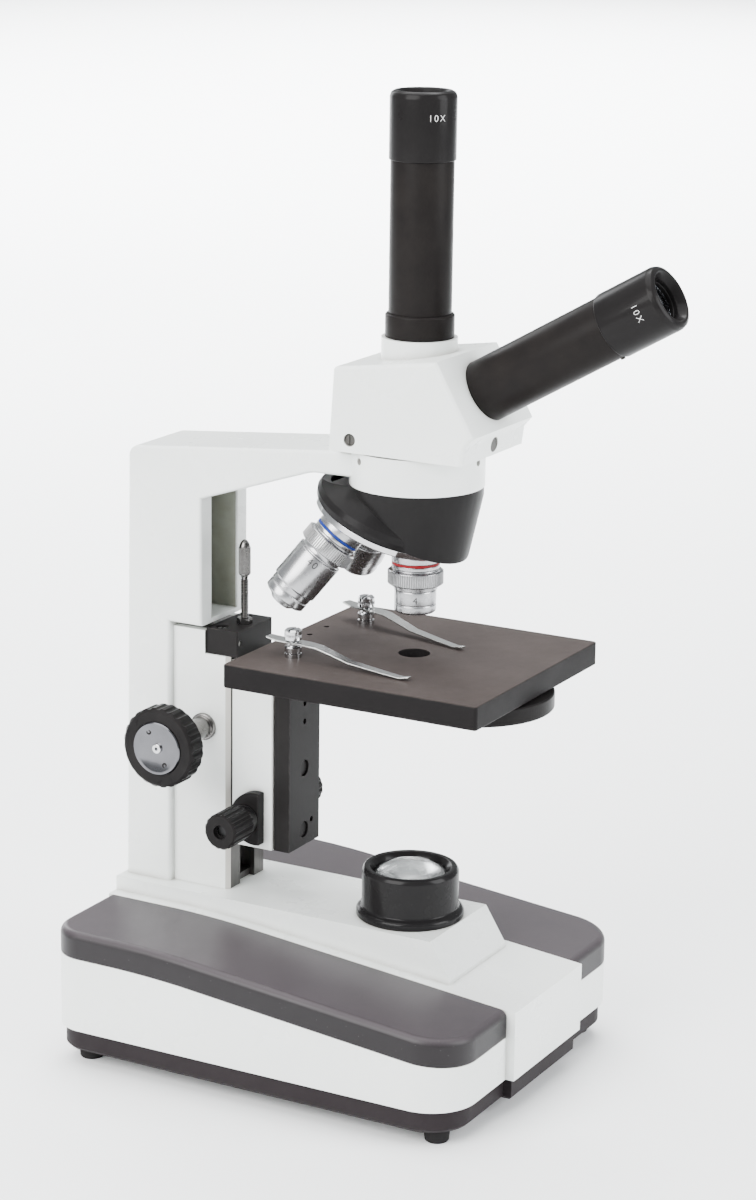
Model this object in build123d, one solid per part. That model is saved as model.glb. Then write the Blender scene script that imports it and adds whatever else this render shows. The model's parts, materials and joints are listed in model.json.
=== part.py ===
from build123d import *
import os
from math import cos, pi, radians, sin

# A student compound microscope with an upright and an inclined eyepiece tube.
# While the pieces are made, the optical axis is the Z axis, the bench is z = 0,
# the user sits on the -Y side and the limb stands on the +Y side.
# Everything is moved to the middle of its own footprint just before it is written.

os.makedirs("parts", exist_ok=True)

# ---------------------------------------------------------------- driving sizes, mm
# Fits shared by the whole instrument
running_gap = 0.06      # radial gap of a shaft in its bush
slide_gap = 0.12        # gap between sliding faces
clear_gap = 0.35        # gap between pieces that move past each other
seat_gap = 0.03         # gap round a fixed piece in its hole

# Base
base_width = 164.0
base_front = -68.6      # front face of the middle spine
base_rear = 136.5
wing_setback = 4.0      # the side bands stand this far behind the spine's front
spine_half = 32.7
base_wall = 3.0
front_corner = 21.0
rear_corner = 16.0
foot_height = 6.5
foot_inset = 14.0       # from the tray's outline to a foot's middle
tray_inset = 2.0
tray_height = 10.3
tray_floor = 3.0
trim_thickness = 12.1
trim_wall = 2.5
trim_round = 3.5
trim_rear_z = 62.5
trim_front_z = 47.8
bend_y = 84.0           # where the base top turns from level to sloping
bend_half = 24.0        # half the length of that gentle turn
deck_z = 69.0
deck_half = 26.5
deck_front = -24.0
deck_slope = 10.0       # run of the slope in front of the deck

# Lamp
lamp_radius = 21.3
lamp_flange = 23.7
lamp_height = 22.3
lens_radius = 15.7
lens_dome = 5.2

# Limb: column, arm and ring, one casting
column_half = 19.7
column_front = 112.0
column_rear = 135.4
column_rear_top = 132.8
cheek_front = 95.5
cheek_half_gap = 11.0   # half the width of the pocket in the column
pocket_depth = 29.0
arm_thickness = 23.0    # at the column
arm_rise = 9.7          # how much higher the arm's top is at the ring
ring_radius = 28.8
ring_height = 15.6
ring_bore = 15.0
head_seat_radius = 21.5
head_seat_depth = 7.0

# Slideway and stop
guide_half = 16.0
guide_front = 83.4
guide_bevel = 1.8
guide_foot_gap = 1.0
rack_slot_half = 6.2
rack_head_half = 8.5
rack_lip = 2.6          # thickness of the slideway's lips over the rack's head
stop_block_half = 15.0
stop_block_depth = 16.0
stop_block_height = 11.7
stop_block_overhang = 3.7
stop_screw_radius = 1.75
stop_cap_radius = 2.75

# Stage and its carriage
stage_top = 187.7
stage_thickness = 10.3
stage_width = 115.5
stage_front = -59.5
stage_rear = 61.0
aperture_radius = 6.9
slide_glass = 1.2
carriage_half = 14.2
carriage_front = 62.3
carriage_height = 85.0
bracket_half = 13.2
bracket_thickness = 8.0
stage_up = 1.0          # coarse travel above focus
stage_down = 15.0       # coarse travel below focus
fine_travel = 0.8       # each way
clip_post_x = 32.0
clip_post_y = 41.5
clip_post_radius = 3.7

# Disc diaphragm
disc_radius = 35.4
disc_pivot_y = -28.1
disc_height = 7.0
disc_openings = (5.5, 4.4, 3.3, 2.2, 1.3)

# Coarse and fine drives
coarse_y = 96.2
coarse_below_stage = 44.2
gear_module = 0.8
pinion_teeth = 15
coarse_shaft_radius = 3.0
coarse_knob_radius = 17.9
coarse_knob_width = 10.5
coarse_knob_out = 54.5  # outer face of a knob from the middle
coarse_cap_radius = 11.8
fine_y = 72.6
fine_above_foot = 14.8  # fine shaft over the carriage's lower end
fine_shaft_radius = 2.5
fine_cam_radius = 4.8
fine_lift_per_radian = 0.32
fine_knob_radius = 8.1
fine_knob_length = 21.4
fine_hub_radius = 12.1
fine_hub_offset = 3.7   # the round housing's middle in front of the fine shaft
fine_hub_width = 5.2
cam_sweep = 0.94        # share of a full turn on which the cam rises

# Revolving nosepiece and objectives
parfocal = 45.0
turret_tilt = 23.0      # degrees
apex_rise = 46.6        # from an objective's seat up to where all their axes meet
turret_radius = 31.0
turret_rim = 3.4
rim_from_apex = 40.6    # lower face of the turret's rim, along the turret's axis
objective_collar = 10.35
objective_knurl = 12.0
objective_thread = 9.0
thread_length = 4.0
nose_drop = 28.6        # ring's lower face over the objectives' seats
nose_chin = 40.8        # reach of the housing's front lobe from the turret's axis

# Head, tubes and eyepieces
head_half = 28.5
head_lift = 0.6         # gap between ring and head
head_rear = 27.7
head_front_top = -22.5
head_height = 42.2      # at the front edge of its top
head_rear_height = 35.5
ledge_front = -35.4
tube_tilt = 30.0        # degrees above level
tube_cross = 8.6        # crossing of the two tube axes over the head's lower face
tube_radius = 13.3
tube_bore = 11.7
tube_length = 73.7      # upright tube over the neck
neck_radius = 16.1
neck_top = 46.6         # neck's top over the head's lower face
collar_radius = 14.6
collar_height = 10.0
inclined_length = 66.0  # inclined tube out of the head's face
cap_radius = 14.0
cap_length = 28.5
eyepiece_barrel = 30.0
eyepiece_pull = 30.0    # how far an eyepiece slides out

# ---------------------------------------------------------------- places worked out
tray_bottom = foot_height
tray_top = tray_bottom + tray_height
wing_front = base_front + wing_setback
stage_bottom = stage_top - stage_thickness
seat_z = stage_top + slide_glass + parfocal
apex_z = seat_z + apex_rise
ring_bottom = seat_z + nose_drop
ring_top = ring_bottom + ring_height
head_bottom = ring_top + head_lift
neck_z = head_bottom + neck_top
tube_top = neck_z + tube_length
cross_z = head_bottom + tube_cross
arm_top_ring = ring_top - 1.4
arm_top_rear = arm_top_ring - arm_rise
arm_under_rear = arm_top_rear + 0.35 * arm_rise - arm_thickness
guide_top = stage_top - 0.2
cheek_foot = guide_top + 2.5
stop_block_z = stage_bottom - 0.4
coarse_z = stage_top - coarse_below_stage
carriage_top = stop_block_z - stage_up - clear_gap
carriage_foot = carriage_top - carriage_height
fine_z = carriage_foot + fine_above_foot
pitch_radius = gear_module * pinion_teeth / 2
rack_pitch_y = coarse_y - pitch_radius
tooth_pitch = pi * gear_module
half_tooth = 0.65       # height of a tooth above or below the pitch line
rack_face_y = rack_pitch_y + half_tooth
rack_screw_seat = rack_face_y - 3.0
cam_reach = fine_cam_radius + fine_lift_per_radian * pi * cam_sweep
cam_pocket_rear = fine_y + cam_reach + 1.4
turret = Plane((0, 0, apex_z), (1, 0, 0), (0, sin(radians(turret_tilt)), -cos(radians(turret_tilt))))
inclined = Plane((0, 0, cross_z), (1, 0, 0), (0, -cos(radians(tube_tilt)), sin(radians(tube_tilt))))
nodes = {}


# ---------------------------------------------------------------- shapes used throughout
def rod(radius, low, high, x=0.0, y=0.0):
    """An upright cylinder between two heights."""
    return Pos(x, y, (low + high) / 2) * Cylinder(radius, high - low)


def block(x0, x1, y0, y1, z0, z1):
    """A box between two corners."""
    size = (x1 - x0, y1 - y0, z1 - z0)
    return Pos((x0 + x1) / 2, (y0 + y1) / 2, (z0 + z1) / 2) * Box(*size)


def turned(outline, place=Plane.XY):
    """A turned piece: (radius, height) points spun about a plane's normal."""
    face = make_face(Plane.XZ * Polyline(*outline, close=True))
    return place.location * revolve(face, Axis.Z)


def slab(outline, half):
    """A (Y, Z) outline made `2 * half` wide across X."""
    face = make_face(Plane((-half, 0, 0), (0, 1, 0), (1, 0, 0)) * Polyline(*outline, close=True))
    return extrude(face, 2 * half, dir=(1, 0, 0))


def upright(face, height):
    """A level face raised into a solid."""
    return extrude(face, height, dir=(0, 0, 1))


def across(y, z, x=0.0, side=1):
    """A plane whose normal runs along X, towards +X or -X."""
    return Plane((x, y, z), (0, 0, 1), (side, 0, 0))


def screw(head_radius, head_height, shank_radius, shank_length, place, slot=True):
    """A fastener: its head stands above the plane and its shank runs below."""
    body = turned([(0, head_height), (head_radius - 0.3, head_height), (head_radius, head_height - 0.3),
                   (head_radius, 0), (shank_radius, 0), (shank_radius, -shank_length), (0, -shank_length)])
    if slot:
        body -= Pos(0, 0, head_height) * Box(head_radius * 2.2, 0.7, head_height * 0.8)
    return place.location * body


def keep(name, *solids):
    """File the solids of one node under its name."""
    nodes[name] = list(solids)


# ---------------------------------------------------------------- base
def plan(inset):
    """The base's outline seen from above, drawn in by `inset`."""
    half = base_width / 2 - inset
    front = wing_front + inset
    rear = base_rear - inset
    depth = rear - front
    wings = Pos(0, (front + rear) / 2) * Rectangle(2 * half, depth)
    corners = wings.vertices()
    wings = fillet(corners.sort_by(Axis.Y)[:2], front_corner - inset)
    wings = fillet(wings.vertices().sort_by(Axis.Y)[-2:], rear_corner - inset)
    tongue_half = spine_half - inset
    tongue_front = base_front + inset
    tongue = Pos(0, (tongue_front + base_rear / 2) / 2) * Rectangle(2 * tongue_half, base_rear / 2 - tongue_front)
    return wings + tongue


def top_prism(lift, low, half):
    """Everything under the base's level-then-sloping top line, raised by `lift`."""
    stations = [base_front - 20.0] + [bend_y + 8.0 * i for i in range(-3, 4)] + [base_rear + 20.0]
    crest = [(y, top_height(y) + lift) for y in stations]
    return slab([(stations[0], low)] + crest + [(stations[-1], low)], half)


def deck_block(half, top, front, drop, rear):
    """The raised deck, whose front end slopes down."""
    run = deck_slope * (top - drop) / (deck_z - 53.0)
    return slab([(front, top), (front - run, drop), (front - run, drop - 6), (rear, drop - 6), (rear, top)], half)


def make_base_shell():
    tall = extrude(plan(0), deck_z)
    band = tall & top_prism(-trim_thickness, tray_top, base_width)
    spine = tall & top_prism(0, tray_top, spine_half)
    deck = deck_block(deck_half, deck_z, deck_front, 53.0, base_rear)
    solid = band + spine + deck
    inner = extrude(plan(base_wall), deck_z)
    hollow = inner & top_prism(-trim_thickness - base_wall, 0, base_width)
    hollow += inner & top_prism(-base_wall, 0, spine_half - base_wall)
    hollow += deck_block(deck_half - base_wall, deck_z - 1.5 * base_wall, deck_front + 1.0, 53.0, base_rear - base_wall)
    solid -= hollow
    for x, y in tray_screw_places():
        solid += rod(4.5, tray_bottom + tray_floor, 40.0, x, y) & tall
        solid -= rod(1.5 + seat_gap, 0, 22.0, x, y)
    for x, y in column_bolt_places():
        solid -= rod(2.5 + seat_gap, deck_z - 12, deck_z + 1, x, y)
    solid -= rod(8.0 + seat_gap, deck_z - 12, deck_z + 1)
    for x in (-19.0, 19.0):
        solid -= rod(1.6, deck_z - 12, deck_z + 1, x, 0)
    solid -= inlet_cut(seat_gap)
    solid -= switch_cut(seat_gap)
    return solid


def tray_screw_places():
    return [(sx * (base_width / 2 - 20), y) for sx in (-1, 1) for y in (wing_front + 34, base_rear - 34)]


def foot_places():
    x = base_width / 2 - foot_inset
    return [(sx * x, y) for sx in (-1, 1) for y in (wing_front + foot_inset, base_rear - foot_inset)]


def column_bolt_places():
    return [(sx * 11.0, y) for sx in (-1, 1) for y in (coarse_y + 6.0, column_front + 12.0)]


def make_tray():
    solid = extrude(plan(tray_inset), tray_height)
    lower_rim = solid.faces().sort_by(Axis.Z)[0].edges()
    solid = chamfer(lower_rim, 1.6)
    solid -= Pos(0, 0, tray_floor) * extrude(plan(tray_inset + base_wall), tray_height)
    solid = Pos(0, 0, tray_bottom) * solid
    for x, y in foot_places():
        solid += rod(4.5, tray_bottom + tray_floor, tray_bottom + tray_floor + 4, x, y)
        solid -= rod(1.6 + seat_gap, 0, tray_bottom + 6, x, y)
    for x, y in tray_screw_places():
        solid -= rod(1.5 + seat_gap, 0, tray_top, x, y)
        solid -= rod(3.0, 0, tray_bottom + 1.6, x, y)
    for i in range(7):
        solid -= block(-16, 16, 6.0 * i - 1.0, 6.0 * i + 1.0, 0, tray_bottom + tray_floor + 1)
    return solid


def make_trim(side):
    reach = base_width
    band = extrude(plan(0), deck_z)
    solid = band & top_prism(0, tray_top, reach)
    solid -= top_prism(-trim_thickness, 0, reach)
    solid = solid & block(spine_half, reach, base_front - 5, base_rear + 5, 0, deck_z)
    outer = [e for e in solid.edges() if is_outer_top(e)]
    solid = fillet(outer, trim_round)
    inner = extrude(plan(trim_wall), deck_z) & top_prism(-trim_wall, 0, reach)
    inner = inner & block(spine_half + trim_wall, reach, base_front - 5, base_rear + 5, 0, deck_z)
    solid -= inner
    return solid if side > 0 else mirror(solid, Plane.YZ)


def is_outer_top(edge):
    """True for an edge round the outside of a trim's upper face."""
    middle = edge @ 0.5
    start = edge @ 0.0
    finish = edge @ 1.0
    on_spine = all(abs(p.X - spine_half) < 0.1 for p in (start, middle, finish))
    tops = [p.Z - top_height(p.Y) for p in (start, middle, finish)]
    return not on_spine and min(tops) > -2.0


def top_height(y):
    """Height of the base's top line at one place."""
    slope = (trim_rear_z - trim_front_z) / (bend_y - base_front)
    past = y - bend_y
    if past >= bend_half:
        return trim_rear_z
    if past <= -bend_half:
        return trim_rear_z + slope * past
    return trim_rear_z - slope * (bend_half - past) ** 2 / (4 * bend_half)


def inlet_cut(gap):
    return block(-34 - gap, -22 + gap, base_rear - 12, base_rear + 5, 28 - gap, 40 + gap)


def switch_cut(gap):
    return block(20 - gap, 40 + gap, base_rear - 14, base_rear + 5, 27 - gap, 41 + gap)


def make_inlet():
    solid = block(-34, -22, base_rear - 12, base_rear, 28, 40)
    solid += block(-36, -20, base_rear, base_rear + 1.2, 26, 42)
    hole = Plane((-28, base_rear + 1.2, 34), (1, 0, 0), (0, 1, 0))
    solid -= hole.location * (Pos(0, 0, -5) * Cylinder(3.4, 10))
    return solid + hole.location * (Pos(0, 0, -5.5) * Cylinder(1.0, 7))


def make_switch_frame():
    solid = block(20, 40, base_rear - 14, base_rear, 27, 41)
    solid += block(18, 42, base_rear, base_rear + 1.2, 25, 43)
    solid -= block(22, 38, base_rear - 10, base_rear + 3, 29, 39)
    return solid - across(base_rear - 1.5, 34, 30).location * Cylinder(0.8 + running_gap, 19)


def make_rocker():
    profile = [(base_rear - 6.0, 30.8), (base_rear - 6.0, 37.2), (base_rear + 1.0, 37.8), (base_rear + 2.6, 37.8),
               (base_rear + 0.9, 34.0), (base_rear + 0.4, 30.2), (base_rear - 0.6, 30.2)]
    solid = Pos(30, 0, 0) * slab(profile, 8.0 - clear_gap)
    return solid + across(base_rear - 1.5, 34, 30).location * Cylinder(0.8, 18.6)


def make_driver_board():
    solid = block(-24, 24, 60, 96, tray_bottom + tray_floor + 4, tray_bottom + tray_floor + 5.6)
    for x in (-20, 20):
        for y in (64, 92):
            solid += rod(2.4, tray_bottom + tray_floor, tray_bottom + tray_floor + 4, x, y)
    solid += block(-18, 0, 66, 84, tray_bottom + tray_floor + 5.6, tray_bottom + tray_floor + 17)
    solid += rod(5.0, tray_bottom + tray_floor + 5.6, tray_bottom + tray_floor + 18, 12, 76)
    return solid


keep("base_shell", make_base_shell())
keep("base_tray", make_tray())
keep("left_trim", make_trim(-1))
keep("right_trim", make_trim(1))
feet = []
foot_screws = []
for fx, fy in foot_places():
    foot = turned([(1.6 + seat_gap, 2.4), (3.5, 2.4), (3.5, 0), (4.7, 0), (5.2, 0.5), (5.8, foot_height),
                   (1.6 + seat_gap, foot_height)])
    feet.append(Pos(fx, fy, 0) * foot)
    foot_screws.append(screw(3.1, 1.4, 1.6, foot_height + 2.0, Plane((fx, fy, 2.4), (1, 0, 0), (0, 0, -1))))
keep("rubber_feet", *feet)
tray_plane_z = tray_bottom + 1.6
keep("base_screws", *foot_screws, *[screw(2.8, 1.4, 1.5, 12.0, Plane((x, y, tray_plane_z), (1, 0, 0), (0, 0, -1)))
                                    for x, y in tray_screw_places()])
keep("rear_fittings", make_inlet(), make_switch_frame())
keep("switch_rocker", make_rocker())


# ---------------------------------------------------------------- lamp
lamp_top = deck_z + lamp_height
lens_seat = lamp_top - 6.0


def make_lamp_housing():
    outline = [(lens_radius - 2.0, deck_z), (lamp_flange, deck_z), (lamp_flange, deck_z + 2.6),
               (lamp_flange - 0.8, deck_z + 3.6), (lamp_radius, deck_z + 4.2), (lamp_radius, lamp_top - 4.0),
               (lamp_radius - 1.2, lamp_top - 0.6), (lamp_radius - 2.4, lamp_top), (lens_radius + 2.0, lamp_top - 0.4),
               (lens_radius + seat_gap, lamp_top - 2.2), (lens_radius + seat_gap, lens_seat),
               (lens_radius - 2.0, lens_seat)]
    solid = turned(outline)
    for x in (-19.0, 19.0):
        solid -= rod(1.5 + seat_gap, deck_z - 1, deck_z + 5, x, 0)
    return solid


def make_collector_lens():
    foot = lens_seat
    edge = lens_seat + 3.2
    sphere = (lens_radius ** 2 + lens_dome ** 2) / (2 * lens_dome)
    dome = Pos(0, 0, edge + lens_dome - sphere) * Sphere(sphere)
    return rod(lens_radius, foot, edge + lens_dome) & (dome + rod(lens_radius, foot, edge))


keep("lamp_housing", make_lamp_housing())
keep("collector_lens", make_collector_lens())
keep("lamp_electrics", make_driver_board(),
     turned([(0, deck_z - 9), (6.0, deck_z - 9), (6.0, deck_z - 4.5), (8.0, deck_z - 4.5), (8.0, deck_z + 1.5),
             (3.0, deck_z + 1.5), (3.0, deck_z - 2), (0, deck_z - 2)]),
     turned([(0, deck_z - 2), (2.9, deck_z - 2), (2.9, deck_z + 3), (4.2, deck_z + 5), (4.2, deck_z + 9),
             (2.5, deck_z + 11.5), (0, deck_z + 12.2)]))
keep("lamp_screws", *[screw(1.5, 0.8, 1.45, 3.6, Plane((x, 0, deck_z + 3.4), (1, 0, 0), (0, 0, 1)), slot=False)
                      for x in (-19.0, 19.0)])


# ---------------------------------------------------------------- limb
def make_limb():
    under_z = ring_bottom + 3.6
    profile = [(column_front, deck_z), (column_rear, deck_z), (column_rear_top, arm_top_rear),
               (ring_radius - 2.0, arm_top_ring), (0, arm_top_ring), (0, under_z), (ring_radius + 12.0, under_z - 0.4),
               (cheek_front, arm_under_rear), (cheek_front, cheek_foot), (column_front, cheek_foot)]
    solid = slab(profile, column_half)
    long_edges = solid.edges().filter_by(Axis.X)
    rear_top = [e for e in long_edges if (e @ 0.5).Y > column_rear_top - 1 and (e @ 0.5).Z > arm_top_rear - 1]
    solid = fillet(rear_top, 5.0)
    knee = [e for e in solid.edges().filter_by(Axis.X) if abs((e @ 0.5).Y - ring_radius - 12.0) < 0.5]
    solid = fillet(knee, 14.0)
    outer = [e for e in solid.edges() if on_side(e, column_half) and (e @ 0.5).Z > deck_z + 1 and (e @ 0.5).Y > 1]
    solid = fillet(outer, 1.6)
    solid += rod(ring_radius, ring_bottom, ring_top)
    solid -= rod(ring_bore, ring_bottom - 1, ring_top + 1)
    solid -= rod(head_seat_radius, ring_top - head_seat_depth, ring_top + 5)
    pocket_top = arm_under_rear + 8.0
    pocket_back = cheek_front + pocket_depth
    pocket = block(-cheek_half_gap, cheek_half_gap, cheek_front - 40, pocket_back, cheek_foot + 2.0, pocket_top)
    arm_line = [(cheek_front - 50, ring_top), (cheek_front - 50, under_z), (ring_radius + 12, under_z - 0.4),
                (cheek_front, arm_under_rear), (cheek_front + 4, ring_top)]
    pocket = fillet(pocket.edges().filter_by(Axis.Z).sort_by(Axis.Y)[-2:], 3.0)
    solid -= pocket - slab(arm_line, column_half)
    for angle in set_screw_angles:
        solid -= ring_radial(angle).location * Cylinder(1.5 + seat_gap, 30)
    for x, y in column_bolt_places():
        if y > column_front:
            solid -= rod(2.5 + seat_gap, deck_z - 1, deck_z + 16, x, y)
    for z in guide_screw_heights():
        hole = Plane((0, column_rear, z), (1, 0, 0), (0, 1, 0))
        solid -= hole.location * Cylinder(2.5 + seat_gap, 80)
        solid -= hole.location * Cylinder(4.6, 14)
    for angle in nose_screw_angles:
        spot = Rot(0, 0, angle) * Pos(18.2, 0, 0)
        solid -= spot * rod(1.5 + seat_gap, ring_bottom - 1, ring_top)
        solid -= spot * rod(2.9, ring_bottom + 5.0, ring_top)
    return solid


def on_side(edge, half):
    """True for an edge that lies in one of the faces at X = half or X = -half."""
    return abs(abs((edge @ 0.5).X) - half) < 0.01 and abs((edge @ 0).X - (edge @ 1).X) < 0.01


def ring_radial(angle):
    """A plane on the ring's rim whose normal points straight out at an angle."""
    out = (cos(radians(angle)), sin(radians(angle)), 0)
    middle = ring_top - 0.5 * head_seat_depth
    return Plane((out[0] * ring_radius, out[1] * ring_radius, middle), (0, 0, 1), out)


def guide_screw_heights():
    return [deck_z + 28.0, coarse_z + 22.0]


set_screw_angles = (30, 150, 270)
nose_screw_angles = (90, 210, 330)
keep("limb", make_limb())


# ---------------------------------------------------------------- slideway, rack stop
def make_guide():
    foot = deck_z
    solid = block(-guide_half, guide_half, guide_front, column_front, foot, guide_top)
    bevelled = solid.edges().filter_by(Axis.Z).sort_by(Axis.Y)[:2]
    solid = chamfer(bevelled, guide_bevel)
    notch_rear = guide_front - stop_block_overhang + stop_block_depth
    solid -= block(-guide_half - 1, guide_half + 1, guide_front - 1, notch_rear, stop_block_z, guide_top + 1)
    solid -= block(-rack_slot_half, rack_slot_half, guide_front - 1, guide_front + rack_lip, foot - 1, stop_block_z + 1)
    solid -= block(-rack_head_half, rack_head_half, guide_front + rack_lip, slot_rear, foot + 3.0, stop_block_z + 1)
    drive = across(coarse_y, coarse_z)
    solid -= drive.location * Cylinder(pitch_radius + 1.6, 2 * rack_slot_half)
    solid -= drive.location * Cylinder(5.0 + seat_gap, 60)
    for x, y in column_bolt_places():
        if y < column_front:
            solid -= rod(2.5 + seat_gap, deck_z - 1, deck_z + 16, x, y)
    for z in guide_screw_heights():
        hole = Plane((0, column_front, z), (1, 0, 0), (0, 1, 0))
        solid -= hole.location * Cylinder(2.5 + seat_gap, 16)
    for x in (-10.0, 10.0):
        solid -= rod(1.5 + seat_gap, stop_block_z - 10, stop_block_z + 1, x, guide_front + 7.0)
    return solid


slot_rear = rack_face_y + clear_gap + 0.3
keep("slideway", make_guide())
keep("limb_bolts",
     *[screw(4.2, 5.0, 2.5, 4.5 + 15.0, Plane((x, y, deck_z - 4.5), (1, 0, 0), (0, 0, -1)), slot=False)
       for x, y in column_bolt_places()],
     *[screw(4.2, 4.4, 2.5, column_rear - column_front, Plane((0, column_rear - 7.0, z), (1, 0, 0), (0, 1, 0)),
             slot=False) for z in guide_screw_heights()])

stop_y = guide_front + 1.7
block_front = guide_front - stop_block_overhang
block_rear = block_front + stop_block_depth
block_top = stop_block_z + stop_block_height


def make_stop_block():
    solid = block(-stop_block_half, stop_block_half, block_front, block_rear, stop_block_z, block_top)
    solid = chamfer(solid.edges().filter_by(Axis.Z).sort_by(Axis.Y)[:2], 0.6)
    solid -= rod(stop_screw_radius + running_gap, stop_block_z - 1, block_top + 1, 0, stop_y)
    for x in (-10.0, 10.0):
        solid -= rod(1.5 + seat_gap, stop_block_z - 1, block_top + 1, x, guide_front + 7.0)
        solid -= rod(2.9, block_top - 3.0, block_top + 1, x, guide_front + 7.0)
    side = Plane((-stop_block_half + 2.4, block_front, stop_block_z + 6.0), (1, 0, 0), (0, -1, 0))
    return solid - side.location * Cylinder(1.3 + seat_gap, 12)


def make_lock_nut():
    nut = upright(RegularPolygon(3.5, 6), 2.6) - Cylinder(stop_screw_radius + running_gap, 12)
    return Pos(0, stop_y, block_top) * nut


rack_top = stop_block_z - 5.2
keep("stop_block", make_stop_block())
keep("stop_block_fixings",
     *[screw(2.7, 2.4, 1.5, block_top - 3.0 - stop_block_z + 8.0,
             Plane((x, guide_front + 7.0, block_top - 3.0), (1, 0, 0), (0, 0, 1))) for x in (-10.0, 10.0)],
     Plane((-stop_block_half + 2.4, block_front, stop_block_z + 6.0), (1, 0, 0), (0, -1, 0)).location
     * (Pos(0, 0, -2.4) * Cylinder(1.3, 4.0)),
     make_lock_nut())
stop_tip = rack_top + stage_up + clear_gap
keep("stop_screw", turned([(0, stop_tip), (stop_screw_radius - 0.4, stop_tip), (stop_screw_radius, stop_tip + 0.4),
                           (stop_screw_radius, block_top + 21.4), (stop_cap_radius, block_top + 21.8),
                           (stop_cap_radius, block_top + 35.2), (stop_cap_radius - 0.6, block_top + 36.9),
                           (stop_cap_radius - 1.6, block_top + 37.8), (0, block_top + 38.1)],
                          Plane((0, stop_y, 0), (1, 0, 0), (0, 0, 1))))


# ---------------------------------------------------------------- carriage, rack and coarse drive
def make_rack():
    """A T-shaped bar in the slideway, with teeth cut across its rear face."""
    low = rack_top - rack_length
    neck_half = rack_slot_half - slide_gap
    bar_half = rack_head_half - slide_gap
    bar_front = guide_front + rack_lip + slide_gap
    root_y = rack_face_y - 2 * half_tooth - 0.4
    teeth_half = rack_slot_half - 1.4
    solid = block(-neck_half, neck_half, carriage_rear, bar_front, low, rack_top)
    solid += block(-bar_half, bar_half, bar_front, root_y, low, rack_top)
    first = int((coarse_z - low) / tooth_pitch) - 1
    last = int((rack_top - coarse_z) / tooth_pitch) - 1
    for i in range(-first, last):
        z = coarse_z + (i + 0.5) * tooth_pitch
        solid += slab([(root_y - 0.2, z - 0.82), (rack_face_y, z - 0.34), (rack_face_y, z + 0.34),
                       (root_y - 0.2, z + 0.82)], teeth_half)
    for z in rack_screw_heights():
        solid -= Plane((0, guide_front, z), (1, 0, 0), (0, 1, 0)).location * Cylinder(1.5 + seat_gap, 40)
        solid -= Plane((0, rack_face_y, z), (1, 0, 0), (0, 1, 0)).location * Cylinder(2.9, 6.0)
    return solid


def rack_screw_heights():
    return [rack_top - 8.0, rack_top - rack_length + 8.0]


def make_carriage():
    solid = block(-carriage_half, carriage_half, carriage_front, carriage_rear, carriage_foot, carriage_top)
    solid = chamfer(solid.edges().filter_by(Axis.Z), 0.5)
    solid -= dovetail(slide_gap, carriage_foot - 1, carriage_top + 1)
    solid -= block(-5.0, 5.0, carriage_front, cam_pocket_rear, fine_z - cam_reach - 2.0, fine_z + 16.0)
    solid -= across(fine_y, fine_z).location * Cylinder(fine_shaft_radius + running_gap, 60)
    for z in rack_screw_heights():
        solid -= Plane((0, carriage_rear, z), (1, 0, 0), (0, 1, 0)).location * Cylinder(1.5 + seat_gap, 12)
    return solid


def dovetail(gap, low, high):
    """The fine slide's dovetail, or its groove when `gap` is more than zero."""
    front = carriage_front - 0.3
    rear = front + 5.0
    narrow = 6.0 + gap
    wide = 8.4 + gap
    outline = [(-narrow, front - gap), (narrow, front - gap), (wide, rear + gap), (-wide, rear + gap)]
    return Pos(0, 0, low) * upright(make_face(Polyline(*outline, close=True)), high - low)


carriage_rear = guide_front - 0.4
rack_length = 77.0
rack_screw_length = rack_screw_seat - cam_pocket_rear - 0.2
keep("carriage", make_carriage())
keep("rack", make_rack())
keep("rack_screws", *[screw(2.7, 1.6, 1.5, rack_screw_length, Plane((0, rack_screw_seat, z), (1, 0, 0), (0, 1, 0)))
                      for z in rack_screw_heights()])


def make_pinion():
    """The coarse shaft with its pinion cut in one piece."""
    root = pitch_radius - half_tooth - 0.35
    length = 2 * (coarse_knob_out - 1.0)
    solid = Cylinder(coarse_shaft_radius, length)
    gear = Cylinder(root, 2 * rack_slot_half - 3.2)
    tip = pitch_radius + half_tooth
    for i in range(pinion_teeth):
        tooth = Polyline((root - 0.3, -0.95), (pitch_radius, -0.52), (tip, -0.24), (tip, 0.24), (pitch_radius, 0.52),
                         (root - 0.3, 0.95), close=True)
        ridge = upright(make_face(tooth), 2 * rack_slot_half - 3.2)
        gear += Rot(0, 0, 90 + i * 360 / pinion_teeth) * Pos(0, 0, 1.6 - rack_slot_half) * ridge
    return solid + gear


def make_bush(side):
    """A chrome bush pressed into the slideway, whose long sleeve reaches the knob."""
    end = coarse_knob_out - coarse_knob_width - 0.8
    bore = coarse_shaft_radius + running_gap
    outline = [(bore, rack_slot_half + 2.0), (5.0, rack_slot_half + 2.0), (5.0, guide_half), (6.2, guide_half),
               (6.2, guide_half + 1.4), (5.7, guide_half + 1.9), (4.7, guide_half + 1.9), (4.7, end), (bore, end)]
    return turned(outline, across(coarse_y, coarse_z, 0, side))


def make_coarse_knob(side):
    inner = coarse_knob_out - coarse_knob_width
    outer = coarse_knob_out
    bore = coarse_shaft_radius + seat_gap
    outline = [(bore, inner), (coarse_knob_radius - 1.4, inner), (coarse_knob_radius, inner + 1.4),
               (coarse_knob_radius, outer - 1.4), (coarse_knob_radius - 1.4, outer), (coarse_cap_radius + 0.2, outer),
               (coarse_cap_radius + 0.2, outer - 1.6), (bore, outer - 1.6)]
    solid = turned(outline)
    flute = Pos(coarse_knob_radius + 1.5, 0, (inner + outer) / 2) * Cylinder(2.1, coarse_knob_width + 2)
    for i in range(24):
        solid -= Rot(0, 0, i * 15) * flute
    return across(coarse_y, coarse_z, 0, side).location * solid


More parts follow.
